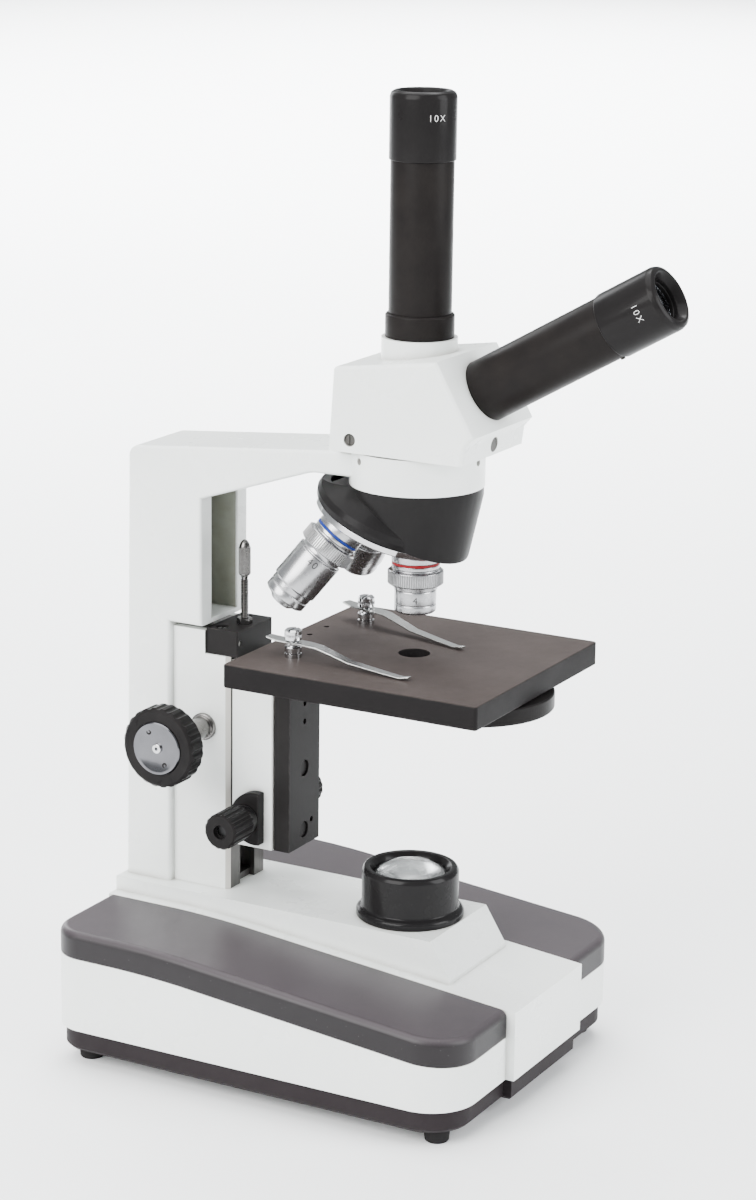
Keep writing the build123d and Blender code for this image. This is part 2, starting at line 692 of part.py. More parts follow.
def make_knob_cap(side):
    outer = coarse_knob_out
    bore = 1.5 + seat_gap
    solid = turned([(bore, outer - 1.0), (coarse_shaft_radius + 1, outer - 1.0), (coarse_shaft_radius + 1, outer - 1.6),
                    (coarse_cap_radius, outer - 1.6), (coarse_cap_radius, outer), (coarse_cap_radius - 0.8, outer + 0.5),
                    (bore, outer + 0.1)])
    for angle in (60, 240):
        solid -= Rot(0, 0, angle) * Pos(coarse_cap_radius * 0.68, 0, outer) * Cylinder(0.9, 1.2)
    return across(coarse_y, coarse_z, 0, side).location * solid


drive_axis = across(coarse_y, coarse_z)
keep("coarse_shaft", drive_axis.location * (make_pinion() - Pos(0, 0, coarse_knob_out) * Cylinder(1.5 + seat_gap, 18)
                                            - Pos(0, 0, -coarse_knob_out) * Cylinder(1.5 + seat_gap, 18)))
sides = (-1, 1)
keep("shaft_bushes", *[make_bush(side) for side in sides])
keep("coarse_knobs", *[make_coarse_knob(side) for side in sides])
keep("knob_caps", *[make_knob_cap(side) for side in sides],
     *[screw(2.0, 0.8, 1.5, 7.0, across(coarse_y, coarse_z, side * (coarse_knob_out + 0.2), side)) for side in sides])


# ---------------------------------------------------------------- fine drive
def make_cam():
    """A spiral cam: its radius grows by the same amount for each radian turned."""
    points = []
    steps = 36
    for i in range(steps + 1):
        angle = pi * cam_sweep * (2 * i / steps - 1)
        radius = fine_cam_radius - fine_lift_per_radian * angle
        points.append((radius * cos(angle), -radius * sin(angle)))
    return Pos(0, 0, -2.4) * upright(make_face(Polyline(*points, close=True)), 4.8)


def make_fine_knob(inner, outer, side):
    outline = [(fine_shaft_radius + seat_gap, inner), (fine_knob_radius - 1.8, inner), (fine_knob_radius - 0.8, inner + 4),
               (fine_knob_radius, inner + 7), (fine_knob_radius, outer - 1.0), (fine_knob_radius - 1.0, outer),
               (3.2, outer), (3.2, outer - 2.0), (fine_shaft_radius + seat_gap, outer - 2.0)]
    solid = turned(outline)
    groove = Pos(fine_knob_radius + 0.55, 0, (inner + outer) / 2 + 3.5) * Cylinder(1.1, outer - inner)
    for i in range(16):
        solid -= Rot(0, 0, i * 22.5) * groove
    return across(fine_y, fine_z, 0, side).location * solid


def make_fine_hub():
    outer = carriage_half + fine_hub_width
    r = fine_hub_radius
    solid = turned([(0, carriage_half), (r, carriage_half), (r, outer - 0.8), (r - 0.8, outer), (0, outer)],
                   across(fine_y - fine_hub_offset, fine_z, 0, -1))
    solid -= block(-2 * outer, 0, fine_y - 2 * r, carriage_front + 4.0, fine_z - r, fine_z + r)
    return solid - across(fine_y, fine_z).location * Cylinder(fine_shaft_radius + running_gap + 0.1, 3 * outer)


fine_axis = across(fine_y, fine_z)
near_inner = carriage_half + fine_hub_width + 0.5
near_outer = near_inner + fine_knob_length
far_inner = carriage_half + 0.5
far_outer = far_inner + fine_knob_length
shaft = Pos(0, 0, (far_outer - near_outer) / 2) * Cylinder(fine_shaft_radius, far_outer + near_outer - 6.0)
keep("fine_shaft", fine_axis.location * (shaft + make_cam()))
keep("fine_hub", make_fine_hub())
keep("fine_knobs", make_fine_knob(near_inner, near_outer, -1), make_fine_knob(far_inner, far_outer, 1))


# ---------------------------------------------------------------- stage
bracket_rear = carriage_front - 0.3
bracket_front = bracket_rear - bracket_thickness
bracket_foot = carriage_foot
bracket_holes = [carriage_foot + 36.0, carriage_foot + 7.4]


def make_bracket():
    solid = block(-bracket_half, bracket_half, bracket_front, bracket_rear, bracket_foot, stage_bottom)
    solid += block(-bracket_half, bracket_half, bracket_front - 18.0, bracket_front, stage_bottom - 6.0, stage_bottom)
    solid = chamfer(solid.edges().filter_by(Axis.Z).sort_by(Axis.Y)[-2:], 0.5)
    for z in bracket_holes:
        front = Plane((0, bracket_front, z), (1, 0, 0), (0, -1, 0))
        solid -= front.location * Cylinder(2.0 + seat_gap, 40)
        solid -= front.location * Cylinder(3.7, 9.0)
    for x, z in ((0, carriage_foot + 57.6), (0, carriage_foot + 66.0), (6.5, carriage_foot + 10.4)):
        solid -= Plane((x, bracket_front, z), (1, 0, 0), (0, -1, 0)).location * Cylinder(1.3, 8.0)
    for x, y in stage_screw_places():
        solid -= rod(1.5 + seat_gap, stage_bottom - 8, stage_bottom + 1, x, y)
    return solid


def make_fine_slide():
    low = carriage_foot + 1.5
    high = carriage_top - 8.0
    solid = dovetail(0, low, high)
    solid -= across(fine_y, fine_z).location * Cylinder(cam_reach + clear_gap + fine_travel, 6.0)
    lug_z = fine_z + fine_cam_radius + 0.15
    solid += block(-3.6, 3.6, carriage_front + 4.5, fine_y + 3.0, lug_z, lug_z + 8.0)
    for z in bracket_holes:
        solid -= Plane((0, carriage_front, z), (1, 0, 0), (0, -1, 0)).location * Cylinder(2.0 + seat_gap, 9.0)
    return solid


def stage_screw_places():
    return [(x, bracket_front - 11.0) for x in (-8.0, 8.0)]


def make_stage():
    half = stage_width / 2
    solid = block(-half, half, stage_front, stage_rear, stage_bottom, stage_top)
    solid = fillet(solid.edges().filter_by(Axis.Z), 1.5)
    solid = chamfer(solid.faces().sort_by(Axis.Z)[-1].edges() + solid.faces().sort_by(Axis.Z)[0].edges(), 0.4)
    solid -= rod(aperture_radius, stage_bottom - 1, stage_top + 1)
    for x in accessory_holes:
        solid -= rod(accessory_hole_radius, stage_top - 6.0, stage_top + 1, x, accessory_y)
    for x in (-clip_post_x, clip_post_x):
        solid -= rod(1.5 + seat_gap, stage_top - 7.0, stage_top + 1, x, clip_post_y)
    for x, y in stage_screw_places():
        solid -= rod(1.5 + seat_gap, stage_bottom - 1, stage_bottom + 6, x, y)
    solid -= rod(2.5 + seat_gap, stage_bottom - 1, stage_bottom + 6, 0, disc_pivot_y)
    return solid


accessory_holes = (2.0, 17.0)
accessory_y = 53.0
accessory_hole_radius = 1.25
keep("stage_bracket", make_bracket())
keep("fine_slide", make_fine_slide())
keep("stage_plate", make_stage())
keep("stage_fixings",
     *[screw(3.5, 3.6, 2.0, 8.0, Plane((0, bracket_front + 4.5, z), (1, 0, 0), (0, -1, 0)), slot=False)
       for z in bracket_holes],
     *[screw(2.8, 2.0, 1.5, 11.0, Plane((x, y, stage_bottom - 6.0), (1, 0, 0), (0, 0, -1)))
       for x, y in stage_screw_places()],
     screw(4.4, 2.2, 2.5, 9.5, Plane((0, disc_pivot_y, stage_bottom - 4.3), (1, 0, 0), (0, 0, -1))))


# ---------------------------------------------------------------- stage clips
clip_z = stage_top + 6.3
clip_sheet = 0.7


def make_post():
    """A turned spacer with a groove for the clip's eye."""
    r = clip_post_radius
    return turned([(1.5 + seat_gap, stage_top), (r, stage_top), (r, stage_top + 1.6), (r - 0.5, stage_top + 1.9),
                   (r - 0.5, stage_top + 2.3), (r, stage_top + 2.6), (r, stage_top + 4.4), (r - 0.6, stage_top + 4.9),
                   (2.2, stage_top + 4.9), (2.2, clip_z + clip_sheet + 0.4), (1.5 + seat_gap, clip_z + clip_sheet + 0.4)])


def make_clip_screw():
    r = clip_post_radius
    low = clip_z + clip_sheet + 0.4
    solid = turned([(0, stage_top - 6.0), (1.5, stage_top - 6.0), (1.5, low), (r - 0.4, low), (r, low + 0.4),
                    (r, low + 1.9), (r - 0.5, low + 2.2), (r - 0.5, low + 2.5), (r, low + 2.8), (r, low + 4.3),
                    (r - 0.6, low + 4.9), (0, low + 4.9)])
    return solid - Pos(0, 0, low + 4.9) * Box(9, 0.9, 1.8)


def make_clip():
    """A sprung steel strip: level at its eye, bent down to a tip on the stage."""
    tip_z = stage_top + 0.35
    line = [(13.0, clip_z + 0.4), (8.0, clip_z), (-9.0, clip_z), (-14.0, clip_z - 0.2), (-30.0, clip_z - 4.0),
            (-48.0, tip_z + 0.5), (-56.0, tip_z), (-60.5, tip_z + 0.9)]
    upper = [(y, z + clip_sheet) for y, z in reversed(line)]
    strip = slab(line + upper, 6)
    width = Polyline((-2.2, 13), (2.2, 13), (3.4, 6), (3.4, -8), (2.6, -20), (1.9, -56), (1.2, -60.5), (-1.2, -60.5),
                     (-1.9, -56), (-2.6, -20), (-3.4, -8), (-3.4, 6), close=True)
    solid = strip & upright(make_face(width), stage_top + 20)
    return solid - rod(2.2 + running_gap, stage_top, stage_top + 20)


post = make_post()
clip_screw = make_clip_screw()
clip_angles = {"left": -6.5, "right": -17.0}
keep("clip_posts", *[Pos(x, clip_post_y, 0) * piece
                     for x in (-clip_post_x, clip_post_x) for piece in (post, clip_screw)])
keep("left_clip", Pos(-clip_post_x, clip_post_y, 0) * Rot(0, 0, clip_angles["left"]) * make_clip())
keep("right_clip", Pos(clip_post_x, clip_post_y, 0) * Rot(0, 0, clip_angles["right"]) * make_clip())


# ---------------------------------------------------------------- disc diaphragm
disc_top = stage_bottom - 0.9


def make_disc():
    low = disc_top - disc_height
    r = disc_radius
    solid = turned([(2.5 + running_gap, disc_top), (r - 0.5, disc_top), (r, disc_top - 0.5), (r, low + 0.5), (r - 0.5, low),
                    (r - 2.0, low), (r - 2.0, disc_top - 2.0), (4.5, disc_top - 2.0), (4.5, disc_top - 3.0),
                    (2.5 + running_gap, disc_top - 3.0)])
    for i, opening in enumerate(disc_openings):
        solid -= Rot(0, 0, 90 + i * 60) * Pos(-disc_pivot_y, 0, disc_top - 2) * Cylinder(opening, 8)
    return Pos(0, disc_pivot_y, 0) * solid


keep("disc_diaphragm", make_disc())


# ---------------------------------------------------------------- revolving nosepiece
nose_face = rim_from_apex - turret_rim - clear_gap   # housing's lower face, along the turret's axis


def make_nose_housing():
    cone_low = seat_z - 6.0
    cone = turned([(0, ring_bottom), (ring_radius - 0.4, ring_bottom), (ring_radius - 0.4, ring_bottom - 4),
                   (ring_radius - 5.9, ring_bottom - 29), (ring_radius - 7.5, cone_low), (0, cone_low)])
    dome = turned([(0, 16), (12, 18), (22, 23.2), (28.4, 28.2), (31.6, 31.6), (32.3, 34.4), (31.8, nose_face),
                   (0, nose_face)], turret)
    solid = cone + (dome - rod(80, ring_bottom, ring_bottom + 60))
    below = turret.location * (Pos(0, 0, nose_face + 40) * Cylinder(90, 80))
    solid -= below
    inside = turret.location * (Pos(0, 0, nose_face - 4) * Cylinder(turret_radius - 3.0, 8.0 + 0.02))
    solid -= inside
    solid -= rod(ring_bore - 3.0, seat_z, ring_bottom + 1)
    solid += turret.location * (Pos(0, 0, nose_face - 5) * Cylinder(7.0, 10.0)) - rod(7.5, 0, 400)
    solid -= turret.location * (Pos(0, 0, nose_face) * Cylinder(2.5 + seat_gap, 26))
    for angle in nose_screw_angles:
        solid -= Rot(0, 0, angle) * Pos(18.2, 0, 0) * rod(1.5 + seat_gap, ring_bottom - 5, ring_bottom + 1)
    return solid


def objective_plane(turn):
    """The plane at the apex whose normal runs down one objective's axis."""
    tilt = radians(turret_tilt)
    along = turret.z_dir * cos(tilt)
    forward = Vector(0, -cos(tilt), -sin(tilt)) * (sin(tilt) * cos(radians(turn)))
    sideways = Vector(1, 0, 0) * (sin(tilt) * sin(radians(turn)))
    return Plane(Vector(0, 0, apex_z), (turret.z_dir.cross(Vector(1, 0, 0))), along + forward + sideways)


def make_turret():
    low = rim_from_apex
    r = turret_radius
    solid = turned([(2.5 + running_gap, low - turret_rim), (r - 0.5, low - turret_rim), (r, low - turret_rim + 0.5),
                    (r, low - 0.6), (r - 0.6, low), (r - 1.6, low), (10.0, low + 5.0), (7.5, low + 6.0),
                    (2.5 + running_gap, low + 6.0)], turret)
    for turn in (0, 120, 240):
        axis = objective_plane(turn)
        solid += axis.location * (Pos(0, 0, apex_rise - 2.5) * Cylinder(objective_collar + 0.6, 5.0))
    above = turret.location * (Pos(0, 0, low - turret_rim - 10) * Cylinder(90, 20))
    solid -= above
    for turn in (0, 120, 240):
        axis = objective_plane(turn)
        solid -= axis.location * (Pos(0, 0, apex_rise + 6) * Cylinder(objective_collar + 0.6, 12.0))
        solid -= axis.location * (Pos(0, 0, apex_rise) * Cylinder(objective_thread + seat_gap, 40))
    return solid


keep("nosepiece_housing", make_nose_housing())
keep("ring_screws",
     *[Rot(0, 0, a) * screw(2.7, 2.4, 1.5, 9.5, Plane((18.2, 0, ring_bottom + 5.0), (1, 0, 0), (0, 0, 1)))
       for a in nose_screw_angles],
     *[ring_radial(a).location * (Pos(0, 0, -4.6) * (Cylinder(1.5, 5.6) - Pos(0, 0, 2.4) * Box(2.4, 0.5, 1.6)))
       for a in set_screw_angles])
keep("turret", make_turret())
keep("turret_pivot_screw", screw(5.6, 2.4, 2.5, rim_from_apex + 6.0 - nose_face + 7.5,
                                 Plane(turret.origin + turret.z_dir * (rim_from_apex + 6.3), (1, 0, 0), turret.z_dir)))


def make_objective(turn, barrel, length, bore, nose):
    """An objective: thread, collar, knurled ring, barrel, and a conical front."""
    s = apex_rise
    tip = s + length
    c = objective_collar
    k = objective_knurl
    t = objective_thread
    outline = [(bore, s - thread_length), (t - 0.5, s - thread_length), (t, s - thread_length + 0.5), (t, s),
               (c - 0.3, s), (c, s + 0.3), (c, s + 8.6), (k - 0.5, s + 8.6), (k, s + 9.1), (k, s + 14.9),
               (k - 0.5, s + 15.4), (c - 0.9, s + 15.4), (c - 0.9, s + 17.2), (barrel, s + 17.6)]
    outline += nose(tip, barrel)
    outline += [(bore, outline[-1][1])]
    solid = turned(outline)
    solid -= turned([(c - 0.35, s + 5.2), (c + 1, s + 5.2), (c + 1, s + 6.2), (c - 0.35, s + 6.2)])
    return objective_plane(turn).location * solid


def colour_ring(turn):
    s = apex_rise
    c = objective_collar
    ring = turned([(c - 0.33, s + 5.2), (c, s + 5.2), (c, s + 6.2), (c - 0.33, s + 6.2)])
    return objective_plane(turn).location * ring


def front_lens(turn, radius, place, thickness):
    lens = turned([(0, place - thickness), (radius, place - thickness), (radius, place - 0.5), (radius * 0.6, place - 0.1),
                   (0, place)])
    return objective_plane(turn).location * lens


def nose_4x(tip, barrel):
    return [(barrel, tip - 1.0), (barrel - 1.0, tip), (barrel - 2.6, tip), (barrel - 3.6, tip - 1.2)]


def nose_10x(tip, barrel):
    return [(barrel, tip - 9.0), (barrel - 0.7, tip - 8.6), (barrel - 0.7, tip - 3.0), (barrel - 3.4, tip), (4.6, tip),
            (3.6, tip - 1.2)]


def nose_40x(tip, barrel):
    shoulder = tip - tip_travel - 0.4
    socket = tip_cell_radius + running_gap
    return [(barrel, tip - 9.6), (barrel - 0.7, tip - 9.2), (barrel - 0.7, shoulder - 1.0), (barrel - 2.0, shoulder),
            (socket, shoulder), (socket, tip - tip_cell_length - tip_travel - clear_gap)]


length_4x = 27.4
length_10x = 38.0
length_40x = 44.2
tip_cell_radius = 6.9   # the sprung front cell of the strongest objective
tip_cell_length = 7.0
tip_travel = 1.8
low_axis = 0
side_axis = 120
far_axis = -120
keep("objective_4x", make_objective(low_axis, 9.0, length_4x, 5.0, nose_4x))
keep("objective_4x_ring", colour_ring(low_axis))
keep("objective_10x", make_objective(side_axis, 10.3, length_10x, 3.4, nose_10x))
keep("objective_10x_ring", colour_ring(side_axis))
keep("objective_40x", make_objective(far_axis, 10.3, length_40x, 3.0, nose_40x))
keep("objective_40x_ring", colour_ring(far_axis))
tip_40x = apex_rise + length_40x
cell_rear = tip_40x - tip_cell_length
front_cell = turned([(1.6, cell_rear), (tip_cell_radius, cell_rear), (tip_cell_radius, tip_40x - 2.2), (4.4, tip_40x),
                     (2.0, tip_40x), (1.6, tip_40x - 0.5)])
keep("objective_40x_tip", objective_plane(far_axis).location * front_cell)
keep("objective_lenses", front_lens(low_axis, 5.0 - seat_gap, apex_rise + length_4x - 1.4, 4.0),
     front_lens(side_axis, 3.4 - seat_gap, apex_rise + length_10x - 1.4, 4.0),
     front_lens(far_axis, 3.0 - seat_gap, tip_40x - 11.0, 4.0))


# ---------------------------------------------------------------- head
def make_head():
    z = head_bottom
    toe = -40.1
    profile = [(head_rear, z), (head_rear - 2.2, z + head_rear_height), (head_front_top, z + head_height),
               (toe, z + 12.0), (ledge_front - 1.0, z + 7.6), (ledge_front, z)]
    solid = slab(profile, head_half)
    corners = [e for e in solid.edges() if on_side(e, head_half) and (e @ 0.5).Z > z + 0.5]
    solid = fillet(corners, 1.8)
    tops = [e for e in solid.edges().filter_by(Axis.X) if (e @ 0.5).Z > z + head_rear_height - 3 and (e @ 0.5).Y > 0]
    solid = fillet(tops, 1.6)
    solid += rod(neck_radius, z + head_rear_height - 4.0, neck_z)
    inner = [(head_rear - 5.0, z + 4.0), (head_rear - 6.0, z + head_rear_height - 7.0),
             (head_front_top + 6.0, z + head_height - 9.0), (toe + 10.0, z + 11.0), (ledge_front + 6.0, z + 4.0)]
    solid -= slab(inner, head_half - 4.0)
    solid -= rod(tube_radius + seat_gap, z + head_rear_height - 4.0, neck_z + 1)
    solid -= rod(ring_bore - 3, z - 1, z + 10)
    solid -= inclined.location * (Pos(0, 0, 40) * Cylinder(tube_radius + seat_gap, 40))
    solid -= Plane((0, ledge_front, z + 4.6), (1, 0, 0), (0, -1, 0)).location * Cylinder(3.2 + seat_gap, 6)
    hole = across(head_rear - 10.5, z + 5.4, -head_half, -1)
    solid -= hole.location * Cylinder(2.75, 4.4)
    for x, y in dovetail_screw_places():
        solid -= rod(1.5 + seat_gap, z - 1, z + 4.6, x, y)
    return solid


def dovetail_screw_places():
    return [(17.0 * cos(radians(a)), 17.0 * sin(radians(a))) for a in (45, 135, 225, 315)]


def make_head_foot():
    """The turned foot under the head, which sits in the ring's seat."""
    z = head_bottom
    r = head_seat_radius - 0.1
    solid = turned([(ring_bore - 3, z), (r + 0.8, z), (r + 0.8, z - head_lift + 0.3), (r, z - head_lift + 0.3),
                    (r, z - head_lift - 1.2), (r - 1.6, z - head_lift - 3.0), (r - 1.6, z - head_lift - 4.2),
                    (r, z - head_lift - 5.6), (r, z - head_lift - head_seat_depth + 0.4),
                    (ring_bore - 3, z - head_lift - head_seat_depth + 0.4)])
    for x, y in dovetail_screw_places():
        solid -= rod(1.5 + seat_gap, z - 12, z + 1, x, y)
        solid -= rod(2.8, z - 12, z - head_lift - 4.0, x, y)
    return solid


def make_prism():
    z = head_bottom + 4.0
    outline = [(-14.0, z + 0.2), (13.0, z + 0.2), (13.0, z + 4.0), (-2.0, z + 20.0), (-14.0, z + 13.0)]
    return slab(outline, 11.0)


face_point = Vector(0, head_front_top, head_bottom + head_height)
face_distance = (face_point - inclined.origin).dot(inclined.z_dir)
keep("head_housing", make_head())
keep("head_foot", make_head_foot())
keep("head_foot_screws", *[screw(2.6, 1.8, 1.5, 8.0, Plane((x, y, head_bottom - head_lift - 4.0), (1, 0, 0), (0, 0, -1)))
                           for x, y in dovetail_screw_places()])
keep("prism", make_prism())
keep("upright_tube", rod(tube_radius, head_bottom + head_rear_height + 0.5, tube_top)
     - rod(tube_bore, 0, tube_top + 1))
keep("tube_collar", rod(collar_radius, neck_z, neck_z + collar_height) - rod(tube_radius + seat_gap, 0, tube_top))
inclined_start = face_distance - 8.0
inclined_end = face_distance + inclined_length
grub_place = Plane(inclined.origin + inclined.z_dir * (inclined_end - 2.5), (1, 0, 0), -inclined.y_dir)
keep("inclined_tube", turned([(tube_bore, inclined_start), (tube_radius, inclined_start), (tube_radius, inclined_end),
                              (tube_bore, inclined_end)], inclined)
     - grub_place.location * (Pos(0, 0, 13) * Cylinder(1.0 + seat_gap, 6)))
keep("head_fittings",
     Plane((0, ledge_front - 0.2, head_bottom + 4.6), (1, 0, 0), (0, -1, 0)).location
     * (Pos(0, 0, -1.3) * Cylinder(3.2, 2.6)),
     screw(2.4, 1.0, 1.5, 0.4, across(head_rear - 10.5, head_bottom + 5.4, -head_half + 1.8, -1)),
     grub_place.location * (Pos(0, 0, 13.0) * Cylinder(1.0, 2.0)))


# ---------------------------------------------------------------- eyepieces
def make_eyepiece(seat):
    """Cap and barrel of an eyepiece whose shoulder rests at `seat` on a tube's end."""
    top = seat + cap_length
    barrel = tube_bore - 0.1
    outline = [(barrel - 1.2, seat - eyepiece_barrel), (barrel, seat - eyepiece_barrel), (barrel, seat),
               (cap_radius, seat), (cap_radius, top - 2.4), (cap_radius - 0.7, top - 0.7), (cap_radius - 2.4, top),
               (10.6, top), (8.4, top - 3.4), (8.4, top - 9.0), (7.4, top - 9.0), (7.4, top - 12.0),
               (barrel - 1.2, top - 16.0)]
    return turned(outline)


def make_eye_lens(seat):
    top = seat + cap_length
    r = 8.4 - seat_gap
    return turned([(0, top - 9.0), (r, top - 9.0), (r, top - 6.6), (5.0, top - 5.6), (0, top - 5.2)])


def make_field_lens(seat):
    foot = seat - eyepiece_barrel
    r = tube_bore - 1.3 - seat_gap
    return turned([(0, foot + 1.0), (r * 0.6, foot + 1.4), (r, foot + 2.6), (r, foot + 4.0), (0, foot + 4.0)])


upright_place = Plane((0, 0, 0), (1, 0, 0), (0, 0, 1))
for name, place, seat in (("upright", upright_place, tube_top), ("inclined", inclined, inclined_end)):
    keep(name + "_eyepiece", place.location * make_eyepiece(seat))
    keep(name + "_lenses", place.location * make_eye_lens(seat), place.location * make_field_lens(seat))


# ---------------------------------------------------------------- move to the footprint's middle and write
whole = Compound(children=[Compound(children=list(solids)) for solids in nodes.values()])
extent = whole.bounding_box()
shift = Vector(-(extent.min.X + extent.max.X) / 2, -(extent.min.Y + extent.max.Y) / 2, -extent.min.Z)

if __name__ == "__main__":
    for name, solids in nodes.items():
        moved = [Pos(shift.X, shift.Y, shift.Z) * solid for piece in solids for solid in piece.solids()]
        export_step(moved[0] if len(moved) == 1 else Compound(children=moved), "parts/" + name + ".step")
    print(len(nodes), "nodes; shift", shift, "size", extent.size)
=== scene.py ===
import json
import math

import bmesh
import bpy
from mathutils import Matrix, Vector

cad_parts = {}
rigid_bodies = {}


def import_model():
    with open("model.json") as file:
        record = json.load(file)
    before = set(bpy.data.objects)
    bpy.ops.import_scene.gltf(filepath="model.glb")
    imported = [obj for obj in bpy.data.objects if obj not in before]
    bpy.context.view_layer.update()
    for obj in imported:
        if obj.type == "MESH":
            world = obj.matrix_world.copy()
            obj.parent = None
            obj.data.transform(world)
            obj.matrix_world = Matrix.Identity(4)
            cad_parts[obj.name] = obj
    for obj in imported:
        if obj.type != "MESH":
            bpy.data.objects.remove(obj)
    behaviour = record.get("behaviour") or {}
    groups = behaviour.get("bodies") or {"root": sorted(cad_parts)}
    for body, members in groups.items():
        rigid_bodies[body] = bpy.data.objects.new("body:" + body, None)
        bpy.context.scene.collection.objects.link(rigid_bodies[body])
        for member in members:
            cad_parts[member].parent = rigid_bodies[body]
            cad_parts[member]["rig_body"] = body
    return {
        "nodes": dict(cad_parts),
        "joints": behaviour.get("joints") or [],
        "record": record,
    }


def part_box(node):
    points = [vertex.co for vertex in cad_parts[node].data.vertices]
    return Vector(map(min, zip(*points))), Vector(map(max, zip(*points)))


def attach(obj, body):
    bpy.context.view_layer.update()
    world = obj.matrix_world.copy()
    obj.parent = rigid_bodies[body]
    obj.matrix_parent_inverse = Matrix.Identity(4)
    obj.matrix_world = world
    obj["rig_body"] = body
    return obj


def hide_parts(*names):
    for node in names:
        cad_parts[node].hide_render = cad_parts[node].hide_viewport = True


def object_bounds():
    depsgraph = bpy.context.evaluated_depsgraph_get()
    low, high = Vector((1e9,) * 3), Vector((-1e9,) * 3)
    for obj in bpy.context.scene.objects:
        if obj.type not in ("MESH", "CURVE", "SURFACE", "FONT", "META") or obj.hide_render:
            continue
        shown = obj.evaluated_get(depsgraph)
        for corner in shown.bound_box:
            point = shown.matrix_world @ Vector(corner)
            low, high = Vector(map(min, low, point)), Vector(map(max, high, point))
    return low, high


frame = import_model()
cad_low, cad_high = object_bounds()

# ---------------------------------------------------------------- camera
# A long lens a little above the stage, to the left of the user's seat. Its eye is placed from
# the optical axis, which is the middle of the upright tube, and from the bench.
tube_low, tube_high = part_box("upright_tube")
optical_axis = Vector(((tube_low.x + tube_high.x) / 2, (tube_low.y + tube_high.y) / 2, 0))
camera_azimuth = math.radians(-61.35)
camera_elevation = math.radians(15.01)
camera_roll = math.radians(0.79)
camera_eye = optical_axis + Vector((-1.1339, -0.6014, 0.5551))
camera_data = bpy.data.cameras.new("portrait_camera")
camera_data.sensor_width = 36.0
camera_data.lens = 93.3
camera_data.clip_start = 0.05
camera_data.clip_end = 60.0
camera = bpy.data.objects.new("portrait_camera", camera_data)
bpy.context.scene.collection.objects.link(camera)
camera_back = Vector((math.sin(camera_azimuth) * math.cos(camera_elevation),
                      -math.cos(camera_azimuth) * math.cos(camera_elevation), math.sin(camera_elevation)))
level_right = Vector((math.cos(camera_azimuth), math.sin(camera_azimuth), 0))
level_up = camera_back.cross(level_right)
camera_right = level_right * math.cos(camera_roll) + level_up * math.sin(camera_roll)
camera_up = camera_back.cross(camera_right)
camera_turn = Matrix((camera_right, camera_up, camera_back)).transposed().to_4x4()
camera.matrix_world = Matrix.Translation(camera_eye) @ camera_turn
bpy.context.scene.camera = camera

# ---------------------------------------------------------------- bench and studio light
# A seamless pale sheet under the instrument, lit by a wide overhead softbox, a large key to the
# left, a weaker fill to the right and a bright room all round.
middle = (cad_low + cad_high) / 2


def softbox(name, place, size, power, tint):
    """One square area light that faces the middle of the instrument."""
    lamp = bpy.data.lights.new(name, "AREA")
    lamp.shape = "RECTANGLE"
    lamp.size = size[0]
    lamp.size_y = size[1]
    lamp.energy = power
    lamp.color = tint
    holder = bpy.data.objects.new(name, lamp)
    bpy.context.scene.collection.objects.link(holder)
    holder.location = place
    holder.rotation_mode = "QUATERNION"
    holder.rotation_quaternion = (Vector(place) - middle).to_track_quat("Z", "Y")
    return holder


softbox("key_light", (-1.75, 0.45, 1.2), (1.5, 1.5), 92.0, (1.0, 0.995, 0.985))
softbox("front_fill", (0.35, -1.9, 0.9), (1.1, 1.5), 58.0, (0.98, 0.99, 1.0))
softbox("overhead", (0.1, 0.25, 1.9), (2.0, 2.0), 66.0, (1.0, 1.0, 1.0))
softbox("rear_edge", (0.9, 1.5, 0.8), (0.6, 1.2), 16.0, (0.97, 0.98, 1.0))
backdrop_wash = softbox("backdrop_wash", (3.6, 2.0, 2.4), (5.0, 4.0), 620.0, (0.98, 0.99, 1.0))
backdrop_wash.rotation_quaternion = (1, 0, 0, 0)
backdrop_wash.data.spread = math.radians(95)

room = bpy.data.worlds.new("pale_room")
room.use_nodes = True
glow = room.node_tree.nodes["Background"]
glow.inputs["Color"].default_value = (0.93, 0.965, 0.98, 1)
glow.inputs["Strength"].default_value = 0.75
bpy.context.scene.world = room

sheet_mesh = bpy.data.meshes.new("bench_sheet")
sheet_half = 14.0
sheet_corners = [(x * sheet_half, y * sheet_half, 0) for x, y in ((-1, -1), (1, -1), (1, 1), (-1, 1))]
sheet_mesh.from_pydata(sheet_corners, [], [(0, 1, 2, 3)])
bench = bpy.data.objects.new("bench_sheet", sheet_mesh)
bpy.context.scene.collection.objects.link(bench)
paper = bpy.data.materials.new("bench_paper")
paper.use_nodes = True
paper_shader = paper.node_tree.nodes["Principled BSDF"]
paper_shader.inputs["Base Color"].default_value = (0.965, 0.975, 0.98, 1)
paper_shader.inputs["Roughness"].default_value = 0.65
paper_shader.inputs["Specular IOR Level"].default_value = 0.2
sheet_mesh.materials.append(paper)

# ---------------------------------------------------------------- base shell
# The white shell of the base: a die casting with a raised middle deck, sprayed with off-white
# enamel that has a faint orange-peel skin and is a little yellow and dull along its edges.


def smoothed(mesh, angle=32.0):
    """Shades a mesh smooth, but keeps every crease sharper than the angle."""
    work = bmesh.new()
    work.from_mesh(mesh)
    limit = math.radians(angle)
    for face in work.faces:
        face.smooth = True
    for edge in work.edges:
        edge.smooth = edge.calc_face_angle(0.0) < limit
    work.to_mesh(mesh)
    work.free()
    return mesh


def shown(name, mesh, material, body, slot, *nodes):
    """Puts a finished mesh in the scene on its body, in place of the named CAD nodes."""
    piece = bpy.data.objects.new(name, mesh)
    bpy.context.scene.collection.objects.link(piece)
    if material is not None:
        mesh.materials.clear()
        mesh.materials.append(material)
    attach(piece, body)
    if nodes:
        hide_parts(*nodes)
    return piece


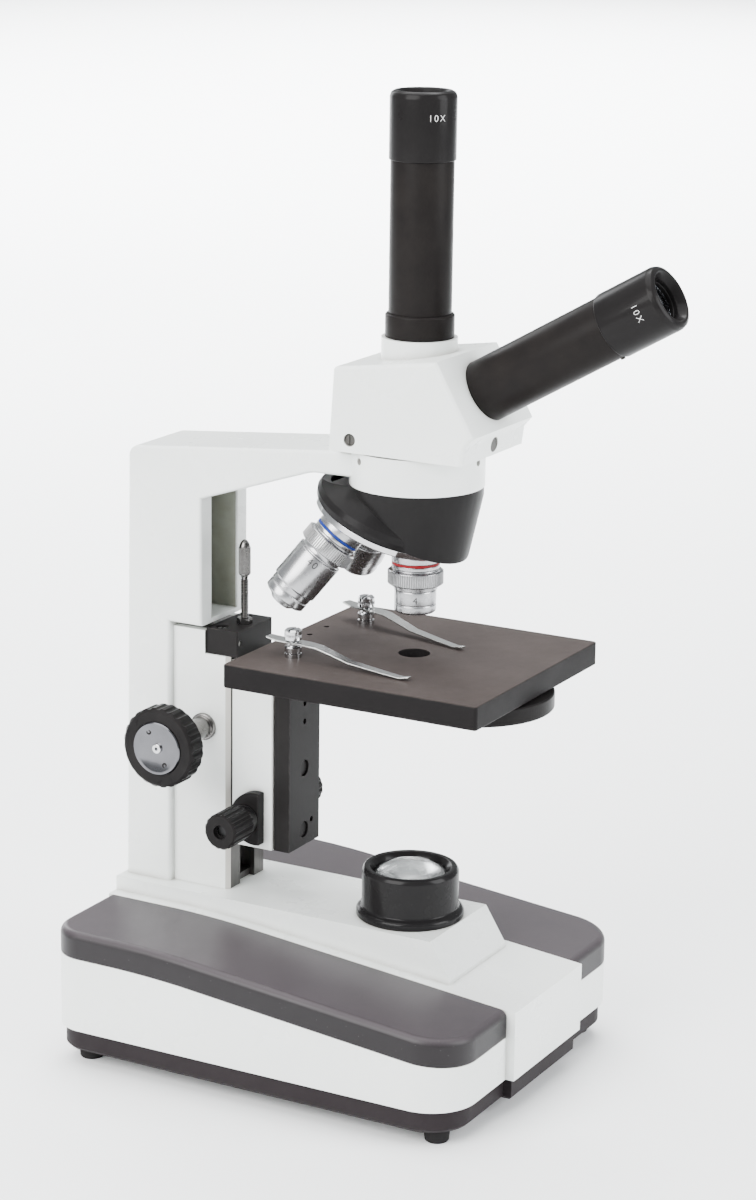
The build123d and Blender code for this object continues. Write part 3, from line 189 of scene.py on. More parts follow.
def settled(piece):
    """The mesh of a piece with its modifiers worked in. The piece itself is taken away."""
    bpy.context.view_layer.update()
    graph = bpy.context.evaluated_depsgraph_get()
    mesh = bpy.data.meshes.new_from_object(piece.evaluated_get(graph))
    bpy.data.objects.remove(piece)
    return mesh


def body_of(node):
    """The CAD body that a node belongs to."""
    return frame["nodes"][node]["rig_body"]


def slot_of(node):
    """The record's material slot of a node."""
    for row in frame["record"]["subparts"]:
        if row["node"] == node:
            return row["material_slot"]
    return None


def cast_copy(node, name, material, edge=0.0005, steps=2, crease=28.0):
    """A CAD node's shape as one welded mesh whose creases are rounded off, shown in its place."""
    mesh = frame["nodes"][node].data.copy()
    work = bmesh.new()
    work.from_mesh(mesh)
    bmesh.ops.remove_doubles(work, verts=work.verts, dist=0.000004)
    bmesh.ops.dissolve_limit(work, angle_limit=math.radians(0.6), verts=work.verts, edges=work.edges)
    work.to_mesh(mesh)
    work.free()
    smoothed(mesh, crease)
    rough = bpy.data.objects.new(name + "_rough", mesh)
    bpy.context.scene.collection.objects.link(rough)
    if edge > 0:
        rounding = rough.modifiers.new("eased_edges", "BEVEL")
        rounding.width = edge
        rounding.segments = steps
        rounding.limit_method = "ANGLE"
        rounding.angle_limit = math.radians(crease)
        rounding.harden_normals = False
        rounding.use_clamp_overlap = True
    weighting = rough.modifiers.new("flat_faces_first", "WEIGHTED_NORMAL")
    weighting.keep_sharp = True
    return shown(name, settled(rough), material, body_of(node), slot_of(node), node)


def node_group(name, inputs, output):
    """An empty shader group with its inputs and one float output, and its two ends."""
    group = bpy.data.node_groups.new(name, "ShaderNodeTree")
    for label, kind, value in inputs:
        socket = group.interface.new_socket(name=label, in_out="INPUT", socket_type="NodeSocket" + kind)
        if value is not None:
            socket.default_value = value
    group.interface.new_socket(name=output, in_out="OUTPUT", socket_type="NodeSocketFloat")
    return group, group.nodes.new("NodeGroupInput"), group.nodes.new("NodeGroupOutput")


def wired(tree, kind, feeds=None, **settings):
    """A shader node with its settings. Each feed is a plain value or a socket to link from."""
    node = tree.nodes.new("ShaderNode" + kind)
    for label, value in settings.items():
        setattr(node, label, value)
    for label, value in (feeds or {}).items():
        if isinstance(value, bpy.types.NodeSocket):
            tree.links.new(value, node.inputs[label])
        else:
            node.inputs[label].default_value = value
    return node


def blotches_group():
    """Slow uneven patches, from 0 to 1: dust, handling and thin spots in a finish."""
    inputs = (("Vector", "Vector", None), ("Scale", "Float", 30.0), ("Spread", "Float", 0.2))
    group, start, end = node_group("blotches", inputs, "Mask")
    given = start.outputs
    noise = wired(group, "TexNoise", {"Vector": given["Vector"], "Scale": given["Scale"],
                                      "Detail": 5.0, "Roughness": 0.6})
    low = wired(group, "Math", {0: 0.5, 1: given["Spread"]}, operation="SUBTRACT")
    high = wired(group, "Math", {0: 0.5, 1: given["Spread"]}, operation="ADD")
    spread = wired(group, "MapRange", {"Value": noise.outputs["Fac"], "From Min": low.outputs[0],
                                       "From Max": high.outputs[0]})
    group.links.new(spread.outputs["Result"], end.inputs["Mask"])
    return group


def grain_group():
    """A fine skin: two sizes of noise added together as a height, centred on one half."""
    inputs = (("Vector", "Vector", None), ("Scale", "Float", 900.0), ("Coarse Share", "Float", 0.35))
    group, start, end = node_group("fine_grain", inputs, "Height")
    given = start.outputs
    quarter = wired(group, "Math", {0: given["Scale"], 1: 0.25}, operation="MULTIPLY")
    fine = wired(group, "TexNoise", {"Vector": given["Vector"], "Scale": given["Scale"], "Detail": 3.0})
    wide = wired(group, "TexNoise", {"Vector": given["Vector"], "Scale": quarter.outputs[0], "Detail": 2.0})
    blend = wired(group, "Mix", {"Factor": given["Coarse Share"], "A": fine.outputs["Fac"],
                                 "B": wide.outputs["Fac"]})
    group.links.new(blend.outputs["Result"], end.inputs["Height"])
    return group


def edges_group():
    """Where a surface turns a corner, broken up by noise: rubbed or chipped edges."""
    inputs = (("Vector", "Vector", None), ("Reach", "Float", 0.0008), ("Amount", "Float", 1.0))
    group, start, end = node_group("rubbed_edges", inputs, "Mask")
    given = start.outputs
    soft = wired(group, "Bevel", {"Radius": given["Reach"]}, samples=4)
    true = wired(group, "NewGeometry")
    match = wired(group, "VectorMath", {0: soft.outputs["Normal"], 1: true.outputs["Normal"]},
                  operation="DOT_PRODUCT")
    turn = wired(group, "MapRange", {"Value": match.outputs["Value"], "From Min": 0.985, "From Max": 0.80})
    patches = wired(group, "TexNoise", {"Vector": given["Vector"], "Scale": 160.0, "Detail": 4.0})
    broken = wired(group, "MapRange", {"Value": patches.outputs["Fac"], "From Min": 0.42, "From Max": 0.66})
    product = wired(group, "Math", {0: turn.outputs["Result"], 1: broken.outputs["Result"]},
                    operation="MULTIPLY")
    scaled = wired(group, "Math", {0: product.outputs[0], 1: given["Amount"]}, operation="MULTIPLY",
                   use_clamp=True)
    group.links.new(scaled.outputs[0], end.inputs["Mask"])
    return group


blotches = blotches_group()
fine_grain = grain_group()
rubbed_edges = edges_group()


def placed_group(tree, group, vector, **values):
    """A group in a material, fed with a vector and with its own values."""
    node = tree.nodes.new("ShaderNodeGroup")
    node.node_tree = group
    tree.links.new(vector, node.inputs["Vector"])
    for label, value in values.items():
        node.inputs[label.replace("_", " ").title()].default_value = value
    return node


def blank_finish(name):
    """A new material with its tree, its Principled shader and its Object coordinates."""
    material = bpy.data.materials.new(name)
    material.use_nodes = True
    tree = material.node_tree
    shader = tree.nodes["Principled BSDF"]
    place = tree.nodes.new("ShaderNodeTexCoord").outputs["Object"]
    return material, tree, shader, place


def mixed(tree, factor, first, second):
    """A colour mix, by a socket, of two colours or sockets."""
    pair = [(*value, 1) if isinstance(value, tuple) else value for value in (first, second)]
    mix = wired(tree, "Mix", {"Factor": factor, "A": pair[0], "B": pair[1]}, data_type="RGBA")
    return mix.outputs["Result"]


def ranged(tree, value, low, high, start=0.0, end=1.0):
    """A socket's way from start to end, stretched between two values."""
    feeds = {"Value": value, "From Min": start, "From Max": end, "To Min": low, "To Max": high}
    return wired(tree, "MapRange", feeds).outputs["Result"]


def dressed(tree, shader, colour, mask, roughness):
    """Feeds a colour into the shader, and a roughness that follows a mask."""
    tree.links.new(colour, shader.inputs["Base Color"])
    tree.links.new(ranged(tree, mask, *roughness), shader.inputs["Roughness"])


def bumped(tree, shader, height, strength, distance):
    """Feeds a height into the shader's normal."""
    bump = wired(tree, "Bump", {"Strength": strength, "Distance": distance, "Height": height})
    tree.links.new(bump.outputs["Normal"], shader.inputs["Normal"])


def painted(name, colour, aged, worn, roughness, grain, bump, wear=0.5, coat=0.0, patch=22.0,
            shine=0.05):
    """A sprayed finish: aged in patches, rubbed through along its edges, with a fine skin."""
    material, tree, shader, place = blank_finish(name)
    patches = placed_group(tree, blotches, place, scale=patch, spread=0.17).outputs["Mask"]
    edges = placed_group(tree, rubbed_edges, place, reach=0.0009, amount=wear).outputs["Mask"]
    skin = placed_group(tree, fine_grain, place, scale=grain)
    base = mixed(tree, patches, colour, aged)
    dressed(tree, shader, mixed(tree, edges, base, worn), patches, roughness)
    shader.inputs["Specular IOR Level"].default_value = shine
    shader.inputs["Coat Weight"].default_value = coat
    shader.inputs["Coat Roughness"].default_value = 0.12
    bumped(tree, shader, skin.outputs["Height"], bump, 0.00012)
    return material


def enamelled():
    """Off-white enamel with brown-grey grime in its creases and joints, laid on as painted shade wherever
    ambient occlusion finds them.
    """
    material = painted("white_enamel", (0.80, 0.825, 0.81), (0.765, 0.795, 0.775), (0.62, 0.625, 0.58),
                       (0.24, 0.34), 700.0, 0.08, wear=0.35, coat=0.15, shine=0.4)
    tree = material.node_tree
    shader = tree.nodes["Principled BSDF"]
    clean = shader.inputs["Base Color"].links[0].from_socket
    place = tree.nodes.new("ShaderNodeTexCoord").outputs["Object"]
    # Painted shade: ambient occlusion darkens creases, joints and gaps between parts toward brown-grey,
    # broken up in patches. It stands for grime and also for the shade that falls there.
    crease = wired(tree, "AmbientOcclusion", {"Distance": 0.005}, samples=6)
    occlusion_shade = ranged(tree, crease.outputs["AO"], 0.0, 1.0, 0.80, 0.30)
    grime_and_shade_patches = placed_group(tree, blotches, place, scale=45.0, spread=0.3).outputs["Mask"]
    share = wired(tree, "Math", {0: occlusion_shade, 1: ranged(tree, grime_and_shade_patches, 0.35, 0.85)}, operation="MULTIPLY")
    crease_grime_and_shade = (0.17, 0.135, 0.10)
    tree.links.new(mixed(tree, share.outputs[0], clean, crease_grime_and_shade), shader.inputs["Base Color"])
    return material


white_enamel = enamelled()
cast_copy("base_shell", "base_casting", white_enamel, edge=0.0009, steps=3)

# ---------------------------------------------------------------- side trims
# Two dark grey covers, left and right of the deck: pressed sheet with a rolled outer edge and a
# satin baked paint in which a few pale specks of dust have settled.


def faces_along(tree, direction, start, end, most=1.0):
    """How far a surface faces along X, Y or Z, from 0 up to a most."""
    surface = wired(tree, "NewGeometry")
    parts = wired(tree, "SeparateXYZ", {"Vector": surface.outputs["Normal"]})
    return ranged(tree, parts.outputs[direction], 0.0, most, start, end)


def speckled_grey():
    """Satin grey paint with sparse pale specks; its sides are darker as painted shade."""
    material, tree, shader, place = blank_finish("trim_paint")
    patches = placed_group(tree, blotches, place, scale=14.0, spread=0.2).outputs["Mask"]
    edges = placed_group(tree, rubbed_edges, place, reach=0.0014, amount=0.45).outputs["Mask"]
    skin = placed_group(tree, fine_grain, place, scale=1500.0)
    specks = wired(tree, "TexVoronoi", {"Vector": place, "Scale": 420.0})
    dust = ranged(tree, specks.outputs["Distance"], 0.0, 0.35, 0.085, 0.03)
    # Painted shade: faces that do not look upward get a copy of the paint about five times darker than the
    # top.
    top_over_painted_side_shade = faces_along(tree, "Z", 0.15, 0.85)
    base = mixed(tree, patches, (0.050, 0.042, 0.047), (0.043, 0.037, 0.041))
    base = mixed(tree, top_over_painted_side_shade, (0.0105, 0.0088, 0.0100), base)
    dusty = mixed(tree, dust, base, (0.16, 0.155, 0.16))
    dressed(tree, shader, mixed(tree, edges, dusty, (0.10, 0.093, 0.098)), patches, (0.34, 0.44))
    shader.inputs["Specular IOR Level"].default_value = 0.22
    bumped(tree, shader, skin.outputs["Height"], 0.22, 0.0001)
    return material


trim_paint = speckled_grey()
for trim in ("left_trim", "right_trim"):
    cast_copy(trim, trim + "_cover", trim_paint, edge=0.0006, steps=3)

# ---------------------------------------------------------------- tray, feet and rear fittings
# The moulded dark tray that closes the base from below, four rubber feet held by screws,
# and the power socket and rocker switch let into the rear wall.
tray_plastic = painted("tray_plastic", (0.017, 0.014, 0.0155), (0.022, 0.0185, 0.020), (0.05, 0.046, 0.047),
                       (0.42, 0.55), 1300.0, 0.30, wear=0.5)
cast_copy("base_tray", "moulded_tray", tray_plastic, edge=0.0006)
foot_rubber = painted("foot_rubber", (0.013, 0.0125, 0.013), (0.020, 0.019, 0.019), (0.04, 0.038, 0.037),
                      (0.62, 0.80), 1700.0, 0.45, wear=0.6)
cast_copy("rubber_feet", "turned_rubber_feet", foot_rubber, edge=0.0004)
socket_plastic = painted("socket_plastic", (0.010, 0.010, 0.0105), (0.015, 0.015, 0.0155), (0.04, 0.04, 0.04),
                         (0.36, 0.50), 1800.0, 0.22, wear=0.5)
cast_copy("rear_fittings", "socket_and_switch_frame", socket_plastic, edge=0.0003)
cast_copy("switch_rocker", "rocker_key", socket_plastic, edge=0.0004)


def plated(name, colour, dulled, roughness, grain=900.0, bump=0.05, patch=60.0):
    """Bright metal with handling marks that change how sharply it reflects."""
    material, tree, shader, place = blank_finish(name)
    patches = placed_group(tree, blotches, place, scale=patch, spread=0.2).outputs["Mask"]
    skin = placed_group(tree, fine_grain, place, scale=grain)
    shader.inputs["Metallic"].default_value = 1.0
    dressed(tree, shader, mixed(tree, patches, colour, dulled), patches, roughness)
    bumped(tree, shader, skin.outputs["Height"], bump, 0.00008)
    return material


screw_steel = plated("screw_steel", (0.42, 0.42, 0.41), (0.30, 0.29, 0.28), (0.24, 0.40))
cast_copy("base_screws", "tray_and_foot_screws", screw_steel, edge=0.0001, steps=1)

# ---------------------------------------------------------------- lamp
# A collector lamp screwed to the deck: a turned black housing with a rolled lip, a ground glass
# lens with faint rings, a small bulb in its holder and the supply board inside the base.


def eased(outline, size, steps=3):
    """An outline whose corners are rounded: each becomes a short curve between its neighbours."""
    rounded = [outline[0]]
    for before, corner, after in zip(outline, outline[1:], outline[2:]):
        here = Vector(corner)
        back = Vector(before) - here
        on = Vector(after) - here
        reach = min(size, 0.42 * back.length, 0.42 * on.length)
        start = here + back.normalized() * reach
        finish = here + on.normalized() * reach
        for i in range(steps + 1):
            t = i / steps
            rounded.append(tuple(start * (1 - t) ** 2 + here * 2 * t * (1 - t) + finish * t ** 2))
    rounded.append(outline[-1])
    return rounded


def lathe(name, outline, place, sides=144, ring=False, crease=38.0):
    """Spins (radius, height) points about an axis. Its UV map holds turns and length along the profile."""
    points = [(max(r, 0.0), z) for r, z in outline]
    work = bmesh.new()
    layer = work.loops.layers.uv.new("turned")
    rings = []
    for r, z in points:
        if r < 1e-6:
            rings.append([work.verts.new((0, 0, z))])
        else:
            turns = [2 * math.pi * i / sides for i in range(sides)]
            rings.append([work.verts.new((r * math.cos(a), r * math.sin(a), z)) for a in turns])
    travelled = [0.0]
    for a, b in zip(points, points[1:]):
        travelled.append(travelled[-1] + math.dist(a, b))
    spans = list(zip(range(len(rings) - 1), range(1, len(rings))))
    if ring:
        spans.append((len(rings) - 1, 0))
        travelled.append(travelled[-1] + math.dist(points[-1], points[0]))
    for low, high in spans:
        first, second = rings[low], rings[high]
        far = travelled[low + 1]
        for i in range(sides):
            j = (i + 1) % sides
            corners = [(first[i % len(first)], i, travelled[low])]
            if len(first) > 1:
                corners.append((first[j], i + 1, travelled[low]))
            corners.append((second[j % len(second)], i + 1, far))
            if len(second) > 1:
                corners.append((second[i], i, far))
            if len(corners) < 3:
                continue
            face = work.faces.new([c[0] for c in corners])
            for loop, (_, turn, along) in zip(face.loops, corners):
                loop[layer].uv = (turn / sides, along)
    bmesh.ops.recalc_face_normals(work, faces=work.faces)
    work.transform(place)
    mesh = bpy.data.meshes.new(name)
    work.to_mesh(mesh)
    work.free()
    return smoothed(mesh, crease)


def standing(x, y, z=0.0):
    """A place on the bench frame with its axis straight up."""
    return Matrix.Translation((x, y, z))


def aimed(origin, axis):
    """A place whose axis points along a direction."""
    return Matrix.Translation(origin) @ Vector(axis).to_track_quat("Z", "Y").to_matrix().to_4x4()


def turned_piece(node, name, outline, place, material, **spin):
    """A lathed piece, shown on its CAD node's body and in the node's place."""
    return shown(name, lathe(name, outline, place, **spin), material, body_of(node), slot_of(node), node)


def tool_lines(tree, across, along, detail):
    """Fine lines left round a turned piece by the tool, as a height."""
    unwrapped = wired(tree, "UVMap", uv_map="turned")
    stretch = wired(tree, "Mapping", {"Vector": unwrapped.outputs["UV"], "Scale": (across, along, 1.0)})
    lines = wired(tree, "TexNoise", {"Vector": stretch.outputs["Vector"], "Scale": 1.0, "Detail": detail})
    return lines.outputs["Fac"]


def turned_paint(name, colour, dusty, roughness, lines=0.12, coat=0.0, wear=0.35):
    """Paint or dye on a turned piece: faint tool lines round it, dust, rubbed rims."""
    material, tree, shader, place = blank_finish(name)
    patches = placed_group(tree, blotches, place, scale=70.0, spread=0.22).outputs["Mask"]
    edges = placed_group(tree, rubbed_edges, place, reach=0.0005, amount=wear).outputs["Mask"]
    base = mixed(tree, patches, colour, dusty)
    dressed(tree, shader, mixed(tree, edges, base, (0.16, 0.155, 0.15)), patches, roughness)
    shader.inputs["Specular IOR Level"].default_value = 0.04
    shader.inputs["Coat Weight"].default_value = coat
    shader.inputs["Coat Roughness"].default_value = 0.10
    bumped(tree, shader, tool_lines(tree, 2.0, 3200.0, 4.0), lines, 0.00006)
    return material


lamp_low, lamp_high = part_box("lamp_housing")
lamp_centre = ((lamp_low.x + lamp_high.x) / 2, (lamp_low.y + lamp_high.y) / 2)
lens_low, lens_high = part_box("collector_lens")
lens_r = (lens_high.x - lens_low.x) / 2
flange_r = (lamp_high.x - lamp_low.x) / 2
barrel_r = flange_r - 0.0024
lamp_black = turned_paint("lamp_black", (0.0085, 0.0080, 0.0085), (0.0105, 0.0100, 0.0102), (0.22, 0.30),
                          lines=0.03, coat=0.12, wear=0.2)
lamp_outline = eased([(lens_r - 0.002, lamp_low.z), (flange_r, lamp_low.z), (flange_r, lamp_low.z + 0.0026),
                      (flange_r - 0.0008, lamp_low.z + 0.0036), (barrel_r, lamp_low.z + 0.0044),
                      (barrel_r, lamp_high.z - 0.0018), (barrel_r - 0.0011, lamp_high.z),
                      (lens_r + 0.0024, lamp_high.z), (lens_r + 0.0004, lamp_high.z - 0.0026),
                      (lens_r + 0.0001, lens_low.z), (lens_r - 0.002, lens_low.z)], 0.0006)
turned_piece("lamp_housing", "lamp_can", lamp_outline, standing(*lamp_centre), lamp_black, ring=True)


def lens_glass(name, tint, roughness):
    """Polished glass with faint dust on it."""
    material, tree, shader, place = blank_finish(name)
    dust = placed_group(tree, blotches, place, scale=240.0, spread=0.16).outputs["Mask"]
    shader.inputs["Base Color"].default_value = (*tint, 1)
    shader.inputs["Transmission Weight"].default_value = 1.0
    shader.inputs["IOR"].default_value = 1.52
    tree.links.new(ranged(tree, dust, *roughness), shader.inputs["Roughness"])
    return material


collector_glass = lens_glass("collector_glass", (0.96, 0.985, 0.98), (0.10, 0.22))
lens_edge_z = lens_low.z + 0.0032
lens_rise = lens_high.z - lens_edge_z
lens_ball = (lens_r ** 2 + lens_rise ** 2) / (2 * lens_rise)
dome = [(0.0, lens_low.z), (lens_r, lens_low.z), (lens_r, lens_edge_z)]
dome_steps = 40
for i in range(1, dome_steps + 1):
    r = lens_r * (1 - i / dome_steps)
    ripple = 0.00006 * math.cos(r * 5200.0) if 0 < i < dome_steps else 0.0
    dome.append((r, lens_high.z - lens_ball + math.sqrt(lens_ball ** 2 - r ** 2) - 0.00008 + ripple))
turned_piece("collector_lens", "collector_dome", dome, standing(*lamp_centre), collector_glass, crease=60.0)
lamp_ceramic = painted("lamp_ceramic", (0.62, 0.60, 0.55), (0.52, 0.49, 0.43), (0.35, 0.33, 0.30),
                       (0.40, 0.60), 900.0, 0.2)
cast_copy("lamp_electrics", "bulb_holder_and_board", lamp_ceramic, edge=0.0)
cast_copy("lamp_screws", "lamp_flange_screws", screw_steel, edge=0.0001, steps=1)

# ---------------------------------------------------------------- limb
# The limb is one casting: column, arm and the ring that carries the head, in the same enamel as
# the base. Cap screws through its back hold the slideway, and hidden bolts hold it to the base.
cast_copy("limb", "limb_casting", white_enamel, edge=0.0010, steps=3)
cast_copy("limb_bolts", "limb_cap_screws", screw_steel, edge=0.0002, steps=1)


def pocket_paint():
    """The limb's pocket is left rough inside: olive-grey primer over a sand-cast skin."""
    return painted("pocket_primer", (0.33, 0.34, 0.29), (0.26, 0.265, 0.22), (0.42, 0.42, 0.38),
                   (0.55, 0.75), 420.0, 0.6, wear=0.2, patch=60.0)


pocket_primer = pocket_paint()
limb_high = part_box("limb")[1]
slide_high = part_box("slideway")[1]
pocket_half = 0.011
pocket_back = slide_high.y - 0.0165 + 0.029
pocket_sheet = 0.00025


def pocket_lining():
    """Thin lining on the floor, the back and the two cheeks of the limb's pocket."""
    front = slide_high.y - 0.0155
    floor = slide_high.z + 0.0046
    top = limb_high.z - 0.0300
    work = bmesh.new()
    for x0, x1, y0, y1, z0, z1 in (
            (-pocket_half + 0.003, pocket_half - 0.003, pocket_back - pocket_sheet, pocket_back - 0.00005,
             floor, top),
            (-pocket_half + 0.00005, -pocket_half + pocket_sheet, front, pocket_back - 0.003, floor, top),
            (pocket_half - pocket_sheet, pocket_half - 0.00005, front, pocket_back - 0.003, floor, top)):
        made = bmesh.ops.create_cube(work, size=1.0)
        for vert in made["verts"]:
            vert.co = Vector(((x0 + x1) / 2 + vert.co.x * (x1 - x0), (y0 + y1) / 2 + vert.co.y * (y1 - y0),
                              (z0 + z1) / 2 + vert.co.z * (z1 - z0)))
    mesh = bpy.data.meshes.new("pocket_lining")
    work.to_mesh(mesh)
    work.free()
    return mesh


shown("pocket_lining", pocket_lining(), pocket_primer, body_of("limb"), slot_of("limb"))

# ---------------------------------------------------------------- slideway
# The slideway is a milled bar bolted to the column. Its sides are enamelled with the limb, its
# front face is bare ground metal, and the rack runs in its slot.


def slide_faces():
    """Enamel on the sides, bare ground metal on the front face and inside the slot."""
    material, tree, shader, place = blank_finish("slideway_finish")
    patches = placed_group(tree, blotches, place, scale=40.0, spread=0.2).outputs["Mask"]
    skin = placed_group(tree, fine_grain, place, scale=900.0)
    across = wired(tree, "SeparateXYZ", {"Vector": place})
    sideways = wired(tree, "Math", {0: across.outputs["X"]}, operation="ABSOLUTE")
    inside = wired(tree, "Math", {0: sideways.outputs[0], 1: 0.0120}, operation="LESS_THAN")
    bare = wired(tree, "Math", {0: faces_along(tree, "Y", -0.80, -0.95), 1: inside.outputs[0]},
                 operation="MAXIMUM").outputs[0]
    stretch = wired(tree, "Mapping", {"Vector": place, "Scale": (1.0, 1.0, 0.02)})
    scratches = wired(tree, "TexNoise", {"Vector": stretch.outputs["Vector"], "Scale": 2600.0, "Detail": 3.0})
    fresh = mixed(tree, patches, (0.80, 0.825, 0.81), (0.74, 0.765, 0.74))
    enamel = mixed(tree, faces_along(tree, "Y", -0.40, -0.68, 0.75), fresh, (0.40, 0.37, 0.33))
    metal = mixed(tree, scratches.outputs["Fac"], (0.075, 0.072, 0.068), (0.17, 0.165, 0.16))
    dressed(tree, shader, mixed(tree, bare, enamel, metal), patches, (0.28, 0.40))
    tree.links.new(ranged(tree, bare, 0.0, 0.9), shader.inputs["Metallic"])
    bumped(tree, shader, skin.outputs["Height"], 0.10, 0.0001)
    return material


cast_copy("slideway", "slideway_bar", slide_faces(), edge=0.0004)
rack_brass = plated("rack_brass", (0.52, 0.40, 0.22), (0.36, 0.27, 0.15), (0.30, 0.46))
cast_copy("rack", "toothed_rack", rack_brass, edge=0.0001, steps=1)
cast_copy("rack_screws", "rack_cap_screws", screw_steel, edge=0.0001, steps=1)

# ---------------------------------------------------------------- stop block and stop screw
# A black block on top of the slideway. A long chromed screw goes down through it and stops the
# stage before an objective can touch the slide. Its cap is knurled and a hex nut locks it.
block_black = painted("block_black", (0.0095, 0.0090, 0.0092), (0.0150, 0.0140, 0.0140), (0.06, 0.056, 0.054),
                      (0.34, 0.48), 1100.0, 0.25, wear=0.6)
cast_copy("stop_block", "stop_block_milled", block_black, edge=0.0004)
bright_chrome = plated("bright_chrome", (0.58, 0.58, 0.59), (0.46, 0.46, 0.47), (0.06, 0.15), bump=0.03)
dark_nickel = plated("dark_nickel", (0.20, 0.195, 0.19), (0.13, 0.125, 0.12), (0.20, 0.34), bump=0.08)


def ribs_tree():
    """Straight round ribs stood in a ring: a knurl, a grip or a fluted knob."""
    tree = bpy.data.node_groups.new("ring_of_ribs", "GeometryNodeTree")
    face = tree.interface
    face.new_socket(name="Geometry", in_out="OUTPUT", socket_type="NodeSocketGeometry")
    for label, kind in (("Count", "Int"), ("Ring Radius", "Float"), ("Rib Radius", "Float"),
                        ("Rib Length", "Float"), ("Rib Sides", "Int"), ("Finish", "Material")):
        face.new_socket(name=label, in_out="INPUT", socket_type="NodeSocket" + kind)
    start = tree.nodes.new("NodeGroupInput")
    end = tree.nodes.new("NodeGroupOutput")
    circle, rib, stand, plain, coat = (tree.nodes.new("GeometryNode" + kind) for kind in (
        "MeshCircle", "MeshCylinder", "InstanceOnPoints", "RealizeInstances", "SetMaterial"))
    link = tree.links.new
    link(start.outputs["Count"], circle.inputs["Vertices"])
    link(start.outputs["Ring Radius"], circle.inputs["Radius"])
    link(start.outputs["Rib Sides"], rib.inputs["Vertices"])
    link(start.outputs["Rib Radius"], rib.inputs["Radius"])
    link(start.outputs["Rib Length"], rib.inputs["Depth"])
    link(circle.outputs["Mesh"], stand.inputs["Points"])
    link(rib.outputs["Mesh"], stand.inputs["Instance"])
    link(stand.outputs["Instances"], plain.inputs["Geometry"])
    link(plain.outputs["Geometry"], coat.inputs["Geometry"])
    link(start.outputs["Finish"], coat.inputs["Material"])
    link(coat.outputs["Geometry"], end.inputs["Geometry"])
    return tree


ring_of_ribs = ribs_tree()
cast_copy("stop_block_fixings", "stop_block_nut_and_screws", dark_nickel, edge=0.00015, steps=1)


def ribs(name, place, finish, body, slot, **sizes):
    """A ring of ribs from the tree, as a plain mesh at a place, riding on a body."""
    holder = bpy.data.objects.new(name + "_maker", bpy.data.meshes.new(name))
    bpy.context.scene.collection.objects.link(holder)
    maker = holder.modifiers.new("ribs", "NODES")
    maker.node_group = ring_of_ribs
    values = {label.replace("_", " ").title(): value for label, value in sizes.items()}
    values["Finish"] = finish
    for item in ring_of_ribs.interface.items_tree:
        if item.in_out == "INPUT":
            maker[item.identifier] = values[item.name]
    mesh = settled(holder)
    mesh.transform(place)
    return shown(name, smoothed(mesh, 50.0), finish, body, slot)


stop_low, stop_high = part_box("stop_screw")
stop_axis = ((stop_low.x + stop_high.x) / 2, (stop_low.y + stop_high.y) / 2)
stop_cap_r = (stop_high.x - stop_low.x) / 2
stop_thread_r = stop_cap_r - 0.001
stop_cap_z = stop_high.z - 0.0163
thread_pitch = 0.0007
thread = [(0.0, stop_low.z), (stop_thread_r - 0.0004, stop_low.z)]
turns_of_thread = int((stop_cap_z - stop_low.z - 0.002) / thread_pitch)
for i in range(turns_of_thread):
    z = stop_low.z + 0.0006 + i * thread_pitch
    thread += [(stop_thread_r - 0.0004, z), (stop_thread_r, z + thread_pitch / 2)]
neck_z = stop_low.z + 0.0006 + turns_of_thread * thread_pitch
cap_side = stop_cap_r - 0.0003
cap_profile = eased([(stop_thread_r - 0.0004, neck_z), (stop_thread_r, stop_cap_z),
                     (cap_side, stop_cap_z + 0.0003), (cap_side, stop_high.z - 0.0030),
                     (stop_cap_r - 0.0009, stop_high.z - 0.0015),
                     (stop_cap_r - 0.0018, stop_high.z - 0.0003), (0.0, stop_high.z)], 0.0004)
turned_piece("stop_screw", "stop_screw_turned", thread + cap_profile, standing(*stop_axis), dark_nickel,
             sides=48)
ribs("stop_screw_knurl", standing(*stop_axis, stop_cap_z + 0.0068), dark_nickel, body_of("stop_screw"),
     slot_of("stop_screw"), count=36, ring_radius=stop_cap_r - 0.00024, rib_radius=0.00020,
     rib_length=0.0118, rib_sides=8)

# ---------------------------------------------------------------- coarse focus drive
# One steel shaft with a cut pinion, two moulded knobs with a scalloped rim, and a chromed cap
# let into each knob. Chromed bushes carry the shaft on both sides of the slideway.
knob_black = painted("knob_black", (0.0085, 0.0080, 0.0082), (0.0130, 0.0120, 0.0120), (0.035, 0.033, 0.032),
                     (0.27, 0.42), 1500.0, 0.16, wear=0.45, patch=90.0)
cast_copy("coarse_knobs", "scalloped_knobs", knob_black, edge=0.0006, steps=3)
cast_copy("coarse_shaft", "pinion_shaft", screw_steel, edge=0.0001, steps=1)
cast_copy("shaft_bushes", "flanged_bushes", dark_nickel, edge=0.0003)
smoked_chrome = plated("smoked_chrome", (0.135, 0.135, 0.145), (0.105, 0.105, 0.112), (0.12, 0.20), bump=0.02)
caps_low, caps_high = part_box("knob_caps")
caps_body = body_of("knob_caps")
caps_slot = slot_of("knob_caps")
caps_centre = (caps_low + caps_high) / 2
cap_rim = (caps_high.z - caps_low.z) / 2
cap_lip = cap_rim - 0.0010
dish_depth = 0.0013
dish_steps = 14
dish = [(0.0, -0.0021), (cap_rim, -0.0021), (cap_rim, -0.0006), (cap_rim - 0.0004, -0.0001),
        (cap_lip, -0.0001)]
for i in range(1, dish_steps + 1):
    r = cap_lip * (1 - i / dish_steps)
    dish.append((r, -0.0001 - dish_depth * (1 - (r / cap_lip) ** 2)))
nut = eased([(0.0008, -0.0016), (0.0021, -0.0016), (0.0021, -0.0003), (0.0008, -0.0003)], 0.0003)
pin = [(0.0, -0.0012), (0.0012, -0.0012), (0.0012, -0.0006), (0.0010, -0.0005), (0.0006, -0.0006),
       (0.0, -0.0010)]
pin_circle = 0.68 * cap_rim
